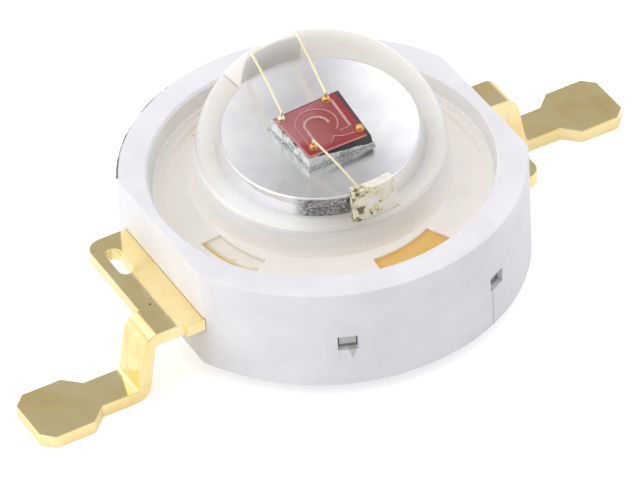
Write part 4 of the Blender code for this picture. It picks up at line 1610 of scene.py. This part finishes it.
@dataclass
class Chip:
    """The light-emitting chip with its adhesive, its layers, its metal and its pads.

    Places on the face are shares of its side, from its middle.
    """

    adhesive: SilverFilledEpoxy = SilverFilledEpoxy()
    sawn: SawnSemiconductor = SawnSemiconductor()
    face: RedEmitterFace = RedEmitterFace()
    film: EvaporatedElectrode = EvaporatedElectrode()
    thin_film: EvaporatedElectrode = EvaporatedElectrode("electrode_evaporated_thin", deep="#C67672", pale="#DA8F8B")
    pad: BareGold = BareGold()
    thin_pad: BareGold = BareGold("gold_bond_pad_thin", deep="#C99A86", pale="#EBC9B4")
    edge_round: float = 0.005 * MM
    track_width: float = 0.025 * MM
    wide_track: float = 0.040 * MM
    track_height: float = 0.006 * MM
    spiral_inner: tuple[Point2, float, float, float, int] = (
        (-0.06, 0.055), 0.175, math.radians(-12.0), math.radians(168.0), 36
    )
    spiral_outer: tuple[Point2, float, float, float, int] = (
        (-0.05, 0.08), 0.30, math.radians(165.0), math.radians(-50.0), 48
    )
    spiral_meet: Point2 = (-0.31, -0.30)
    inner_end: Point2 = (-0.245, -0.17)
    outer_start: Point2 = (-0.365, -0.27)
    edge_track: tuple[Point2, ...] = ((0.355, 0.40), (0.345, -0.205))
    edge_foot: tuple[Point2, ...] = ((0.36, -0.195), (0.175, -0.21))
    branch_track: tuple[Point2, ...] = ((0.345, -0.355), (0.16, -0.335), (0.045, -0.265), (-0.06, -0.375))
    pad_radius: float = 0.068 * MM
    pad_taper: float = 0.94
    pad_sides: int = 48
    pad_wander: float = 0.07
    pad_lobes: float = 1.7
    pad_shrink: float = 0.05
    pads: dict[Corner, Point2] = field(
        default_factory=lambda: {
            Corner.LEFT: (-0.42, 0.42),
            Corner.TOP: (0.295, 0.425),
            Corner.RIGHT: (0.43, -0.33),
            Corner.FRONT: (-0.345, -0.345),
        }
    )
    paste_cells: int = 48
    paste_wander: float = 0.06

    def spot(self, share: Point2) -> Point2:
        """A place on the face from its share of the side."""
        return (CHIP_CENTRE[0] + share[0] * CHIP_SIDE, CHIP_CENTRE[1] + share[1] * CHIP_SIDE)

    def build_tracks(self) -> None:
        """Draws each track along its line, wide and pale or narrow and rose.

        The spiral's two turns meet under the front pad.
        """
        wide, narrow = (self.wide_track, self.film), (self.track_width, self.thin_film)
        inner = arc(*self.spiral_inner) + [self.inner_end, self.spiral_meet]
        outer = [self.spiral_meet, self.outer_start] + arc(*self.spiral_outer)
        lines = {
            "electrode_spiral": ((inner, *wide), (outer, *narrow)),
            "electrode_edge": ((self.edge_track, *wide), (self.edge_foot, *narrow)),
            "electrode_branch": ((self.branch_track, *narrow),),
        }
        low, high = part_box("electrode_spiral")
        level = (low.z + high.z) / 2
        for name, runs in lines.items():
            parts = []
            for shares, width, finish in runs:
                line = polyline(name, [(*self.spot(share), level) for share in shares])
                bar = TrackTree().run(line, finish.material(), Width=width, Thickness=self.track_height)
                parts.append((bar, finish))
            publish(name + "_film", painted_parts(name, parts), self.film, name)

    def build_pads(self) -> None:
        """Makes each pad as a low round cushion of gold with an uneven edge."""
        for corner, share in self.pads.items():
            node = "bond_pad_" + corner.value
            low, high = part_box(node)
            x, y = self.spot(share)
            height = high.z - low.z
            work = bmesh.new()
            bmesh.ops.create_cone(
                work,
                cap_ends=True,
                segments=self.pad_sides,
                radius1=self.pad_radius,
                radius2=self.pad_radius * self.pad_taper,
                depth=height,
            )
            for vertex in work.verts:
                wobble = noise.noise(Vector((x, y, 0.0)) * WANDER + vertex.co.normalized() * self.pad_lobes)
                vertex.co.xy *= 1.0 + self.pad_wander * wobble - self.pad_shrink
                vertex.co += Vector((x, y, low.z)) + Vector((0.0, 0.0, height / 2))
            finish = self.thin_pad if corner is Corner.LEFT else self.pad
            publish(node + "_gold", clean(written(node, work)), finish, node)

    def build_adhesive(self) -> None:
        """Makes the adhesive as a thin bed with a wandering edge."""
        low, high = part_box("die_attach")
        half = (high.x - low.x) / 2
        work = bmesh.new()
        bmesh.ops.create_grid(work, x_segments=self.paste_cells, y_segments=self.paste_cells, size=half)
        grown = bmesh.ops.extrude_face_region(work, geom=work.faces[:])
        for item in grown["geom"]:
            if isinstance(item, bmesh.types.BMVert):
                item.co.z += high.z - low.z
        for vertex in work.verts:
            reach = max(abs(vertex.co.x), abs(vertex.co.y)) / half
            wobble = noise.noise(Vector((vertex.co.x, vertex.co.y, 0.0)) * WANDER)
            vertex.co.xy *= 1.0 - self.paste_wander * reach * (0.5 + 0.5 * wobble)
            vertex.co += Vector((*CHIP_CENTRE, low.z))
        publish("die_attach_epoxy", clean(written("die_attach", work)), self.adhesive, "die_attach")

    def build(self, nodes: dict[str, bpy.types.Object]) -> None:
        """Builds the chip.

        Args:
            nodes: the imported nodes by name.
        """
        self.build_adhesive()
        for node, piece, finish in (
            ("chip_substrate", "chip_substrate_sawn", self.sawn),
            ("emitter_layer", "emitter_layer_face", self.face),
        ):
            publish(piece, skin_of(nodes[node], self.edge_round), finish, node)
        self.build_tracks()
        self.build_pads()


@dataclass
class BondWires:
    """The three wires, from their balls on the chip to their stitches on the leads' tabs, and the spare ball."""

    gold: BareGold = BareGold(
        "gold_bond_wire", deep="#F2E6B6", pale="#FBF4D4", crystal_depth=0.001 * MM, roughness=0.28
    )
    ball_gold: BareGold = BareGold()
    wire_radius: float = 0.019 * MM
    ball_radius: float = 0.052 * MM
    ball_height: float = 0.050 * MM
    ball_margin: float = 1.3
    stitch_radius: float = 0.050 * MM
    stitch_height: float = 0.052 * MM
    loop_rise: float = 0.14 * MM
    loop_steps: int = 18
    neck_share: float = 0.60
    fall_share: float = 0.62
    tension: float = 0.50
    tab_radius: float = 1.71 * MM
    stitch_level: float = 3.280 * MM
    ends: dict[Corner, float] = field(
        default_factory=lambda: {
            Corner.LEFT: math.radians(92.0),
            Corner.TOP: math.radians(71.0),
            Corner.FRONT: math.radians(263.0),
        }
    )

    def route(self, start: Vector, end: Vector) -> list[Point3]:
        """The wire's line: up its neck, over its loop and down to its stitch.

        Args:
            start: the middle of its ball.
            end: the middle of its stitch.

        Returns:
            The line's points.
        """
        top = start.z - self.ball_height / 2 + self.loop_rise
        neck = Vector((start.x, start.y, top))
        edge = neck.lerp(end, self.fall_share)
        edge.z = top
        points = [start, start.lerp(neck, self.neck_share)]
        for step in range(self.loop_steps + 1):
            t = step / self.loop_steps
            points.append(
                (1 - t) ** 3 * neck
                + 3 * (1 - t) ** 2 * t * neck.lerp(edge, self.tension)
                + 3 * (1 - t) * t**2 * edge
                + t**3 * end
            )
        return [tuple(point) for point in points]

    def build_wires(self, chip: Chip, level: float) -> None:
        """Draws the wires, each with a ball of the pads' gold but for the left one.

        Args:
            chip: the chip that they start from.
            level: how high the balls' middles are.
        """
        for corner, angle in self.ends.items():
            start = Vector((*chip.spot(chip.pads[corner]), level))
            end = Vector((self.tab_radius * math.cos(angle), self.tab_radius * math.sin(angle), self.stitch_level))
            mesh = WireTree().run(
                polyline("wire_line", self.route(start, end)),
                self.gold.material(),
                Wire_radius=self.wire_radius,
                Ball_radius=self.ball_radius,
                Ball_height=self.ball_height,
                Stitch_radius=self.stitch_radius,
                Stitch_height=self.stitch_height,
            )
            if corner is not Corner.LEFT:
                mesh.materials.append(self.ball_gold.material())
                for face in mesh.polygons:
                    if (Vector(face.center) - start).length < self.ball_radius * self.ball_margin:
                        face.material_index = 1
            node = "bond_wire_" + corner.value
            publish(node + "_drawn", mesh, self.gold, node)

    def build(self, chip: Chip) -> None:
        """Draws the wires and the spare ball.

        Args:
            chip: the chip that they start from.
        """
        low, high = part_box("bond_ball_right")
        level = (low.z + high.z) / 2
        self.build_wires(chip, level)
        work = bmesh.new()
        bmesh.ops.create_uvsphere(work, u_segments=BALL_SEGMENTS, v_segments=BALL_RINGS, radius=self.ball_radius)
        squash = Matrix.Diagonal((1.0, 1.0, self.ball_height / 2 / self.ball_radius, 1.0))
        work.transform(Matrix.Translation((*chip.spot(chip.pads[Corner.RIGHT]), level)) @ squash)
        mesh = clean(written("bond_ball_right", work), Shading.SMOOTH)
        publish("bond_ball_right_gold", mesh, self.ball_gold, "bond_ball_right")


# Studio -----------------------------------------------------------------------------------------------------


@dataclass(frozen=True)
class Patch:
    """A soft round patch of the tent, with its change of the tent's level.

    Its middle's azimuth from +X, its elevation, its full part's reach and its whole reach are in degrees.
    """

    azimuth: float
    elevation: float
    inner: float
    outer: float
    change: float

    def direction(self) -> Point3:
        """The way from the object to the middle of the patch."""
        a, e = math.radians(self.azimuth), math.radians(self.elevation)
        return (math.cos(a) * math.cos(e), math.sin(a) * math.cos(e), math.sin(e))


@dataclass
class Studio:
    """Camera, pale floor and a soft tent of light."""

    azimuth: float = math.radians(-27.169)
    elevation: float = math.radians(40.092)
    roll: float = math.radians(-3.383)
    distance: float = 109.94 * MM
    focal_px: float = 5605.8
    image: tuple[int, int] = (640, 480)
    centre_px: Point2 = (328.109, 263.504)
    sensor_mm: float = 36.0
    clip: Point2 = (0.005, 10.0)
    paper: str = "#F2F2F2"
    paper_roughness: float = 0.7
    paper_reach: float = 1.2
    paper_drop: float = 0.002 * MM
    glow: str = "#FFFFFF"
    glow_seen_by: tuple[tuple[str, float], ...] = (
        ("Is Camera Ray", 0.48),
        ("Is Transmission Ray", 0.48),
        ("Is Glossy Ray", 0.20),
    )
    tent: str = "#FDFDFF"
    level: float = 0.99
    patches: tuple[Patch, ...] = (
        Patch(0.0, 90.0, 15.0, 50.0, 0.14),
        Patch(104.0, 48.0, 10.0, 27.0, 0.80),
        Patch(61.0, 41.0, 12.0, 43.0, -0.50),
        Patch(16.0, 43.0, 5.0, 32.0, 0.36),
        Patch(-106.0, 5.0, 15.0, 62.0, -0.72),
        Patch(174.0, 16.0, 10.0, 48.0, 1.05),
    )
    bounces: int = 24
    diffuse_bounces: int = 8
    clear_bounces: int = 32

    def camera(self) -> None:
        """Places the camera where the photograph was taken from."""
        flat = math.cos(self.elevation)
        back = Vector((math.sin(self.azimuth) * flat, -math.cos(self.azimuth) * flat, math.sin(self.elevation)))
        right = Vector((math.cos(self.azimuth), math.sin(self.azimuth), 0.0))
        up = back.cross(right)
        c, s = math.cos(self.roll), math.sin(self.roll)
        across, upward = right * c + up * s, up * c - right * s
        width, height = self.image
        data = bpy.data.cameras.new("camera")
        data.sensor_width = self.sensor_mm
        data.lens = self.focal_px / width * self.sensor_mm
        data.shift_x = -(self.centre_px[0] - width / 2) / width
        data.shift_y = (self.centre_px[1] - height / 2) / width
        data.clip_start, data.clip_end = self.clip
        camera = linked("camera", data)
        rotation = Matrix((across, upward, back)).transposed()
        camera.matrix_world = Matrix.Translation(back * self.distance) @ rotation.to_4x4()
        bpy.context.scene.camera = camera

    def floor(self) -> None:
        """A plain pale floor that keeps the object's shadow."""
        material = bpy.data.materials.new("floor_paper")
        material.use_nodes = True
        tree = material.node_tree
        tree.nodes.clear()
        inputs = {"Base Color": linear(self.paper), "Roughness": self.paper_roughness}
        paper = add_node(tree, "ShaderNodeBsdfPrincipled", inputs).outputs["BSDF"]
        path = add_node(tree, "ShaderNodeLightPath").outputs
        glows = []
        for ray, share in self.glow_seen_by:
            glows.append(add_node(tree, "ShaderNodeMath", {0: path[ray], 1: share}, operation="MULTIPLY").outputs[0])
        inputs = {"Color": linear(self.glow), "Strength": joined(tree, Joining.ANY, *glows)}
        lift = add_node(tree, "ShaderNodeEmission", inputs).outputs[0]
        both = add_node(tree, "ShaderNodeAddShader", {0: paper, 1: lift}).outputs[0]
        add_node(tree, "ShaderNodeOutputMaterial", {"Surface": both})
        mesh = bpy.data.meshes.new("floor")
        far = self.paper_reach
        mesh.from_pydata([(-far, -far, 0.0), (far, -far, 0.0), (far, far, 0.0), (-far, far, 0.0)], [], [(0, 1, 2, 3)])
        mesh.materials.append(material)
        floor = linked("floor", mesh)
        floor.location.z = -self.paper_drop

    def surround(self) -> None:
        """The tent round the object: one level all round, with brighter and darker soft patches in it.

        The camera sees it as plain white.
        """
        world = bpy.data.worlds.new("surround")
        world.use_nodes = True
        tree = world.node_tree
        tree.nodes.clear()
        look = add_node(tree, "ShaderNodeTexCoord").outputs["Generated"]
        level = self.level
        for patch in self.patches:
            inputs = {0: look, 1: patch.direction()}
            inputs = {
                "Value": add_node(tree, "ShaderNodeVectorMath", inputs, operation="DOT_PRODUCT").outputs["Value"],
                "From Min": math.cos(math.radians(patch.outer)),
                "From Max": math.cos(math.radians(patch.inner)),
                "To Min": 0.0,
                "To Max": patch.change,
            }
            soft = add_node(tree, "ShaderNodeMapRange", inputs, interpolation_type="SMOOTHSTEP").outputs["Result"]
            level = add_node(tree, "ShaderNodeMath", {0: level, 1: soft}, operation="ADD").outputs[0]
        inputs = {0: add_node(tree, "ShaderNodeLightPath").outputs["Is Camera Ray"], 1: level}
        strength = add_node(tree, "ShaderNodeMath", inputs, operation="MAXIMUM").outputs[0]
        light = add_node(tree, "ShaderNodeBackground", {"Color": linear(self.tent), "Strength": strength})
        add_node(tree, "ShaderNodeOutputWorld", {"Surface": light.outputs[0]})
        bpy.context.scene.world = world

    def build(self) -> None:
        """Sets up the whole studio."""
        self.camera()
        self.floor()
        self.surround()
        bpy.context.scene.view_settings.view_transform = "Standard"
        paths = bpy.context.scene.cycles
        paths.max_bounces = self.bounces
        paths.diffuse_bounces = self.diffuse_bounces
        paths.transparent_max_bounces = self.clear_bounces


def main() -> None:
    """Builds the dressed model and the studio; each piece's face count goes to the log."""
    logging.basicConfig(level=logging.INFO, format="%(name)s: %(message)s")
    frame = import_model()
    nodes = frame["nodes"]
    Studio().build()
    Housing().build(nodes)
    LeadFrame().build(nodes)
    HeatSlug().build()
    chip = Chip()
    chip.build(nodes)
    BondWires().build(chip)
    Optics().build(nodes)


if __name__ == "__main__":
    main()
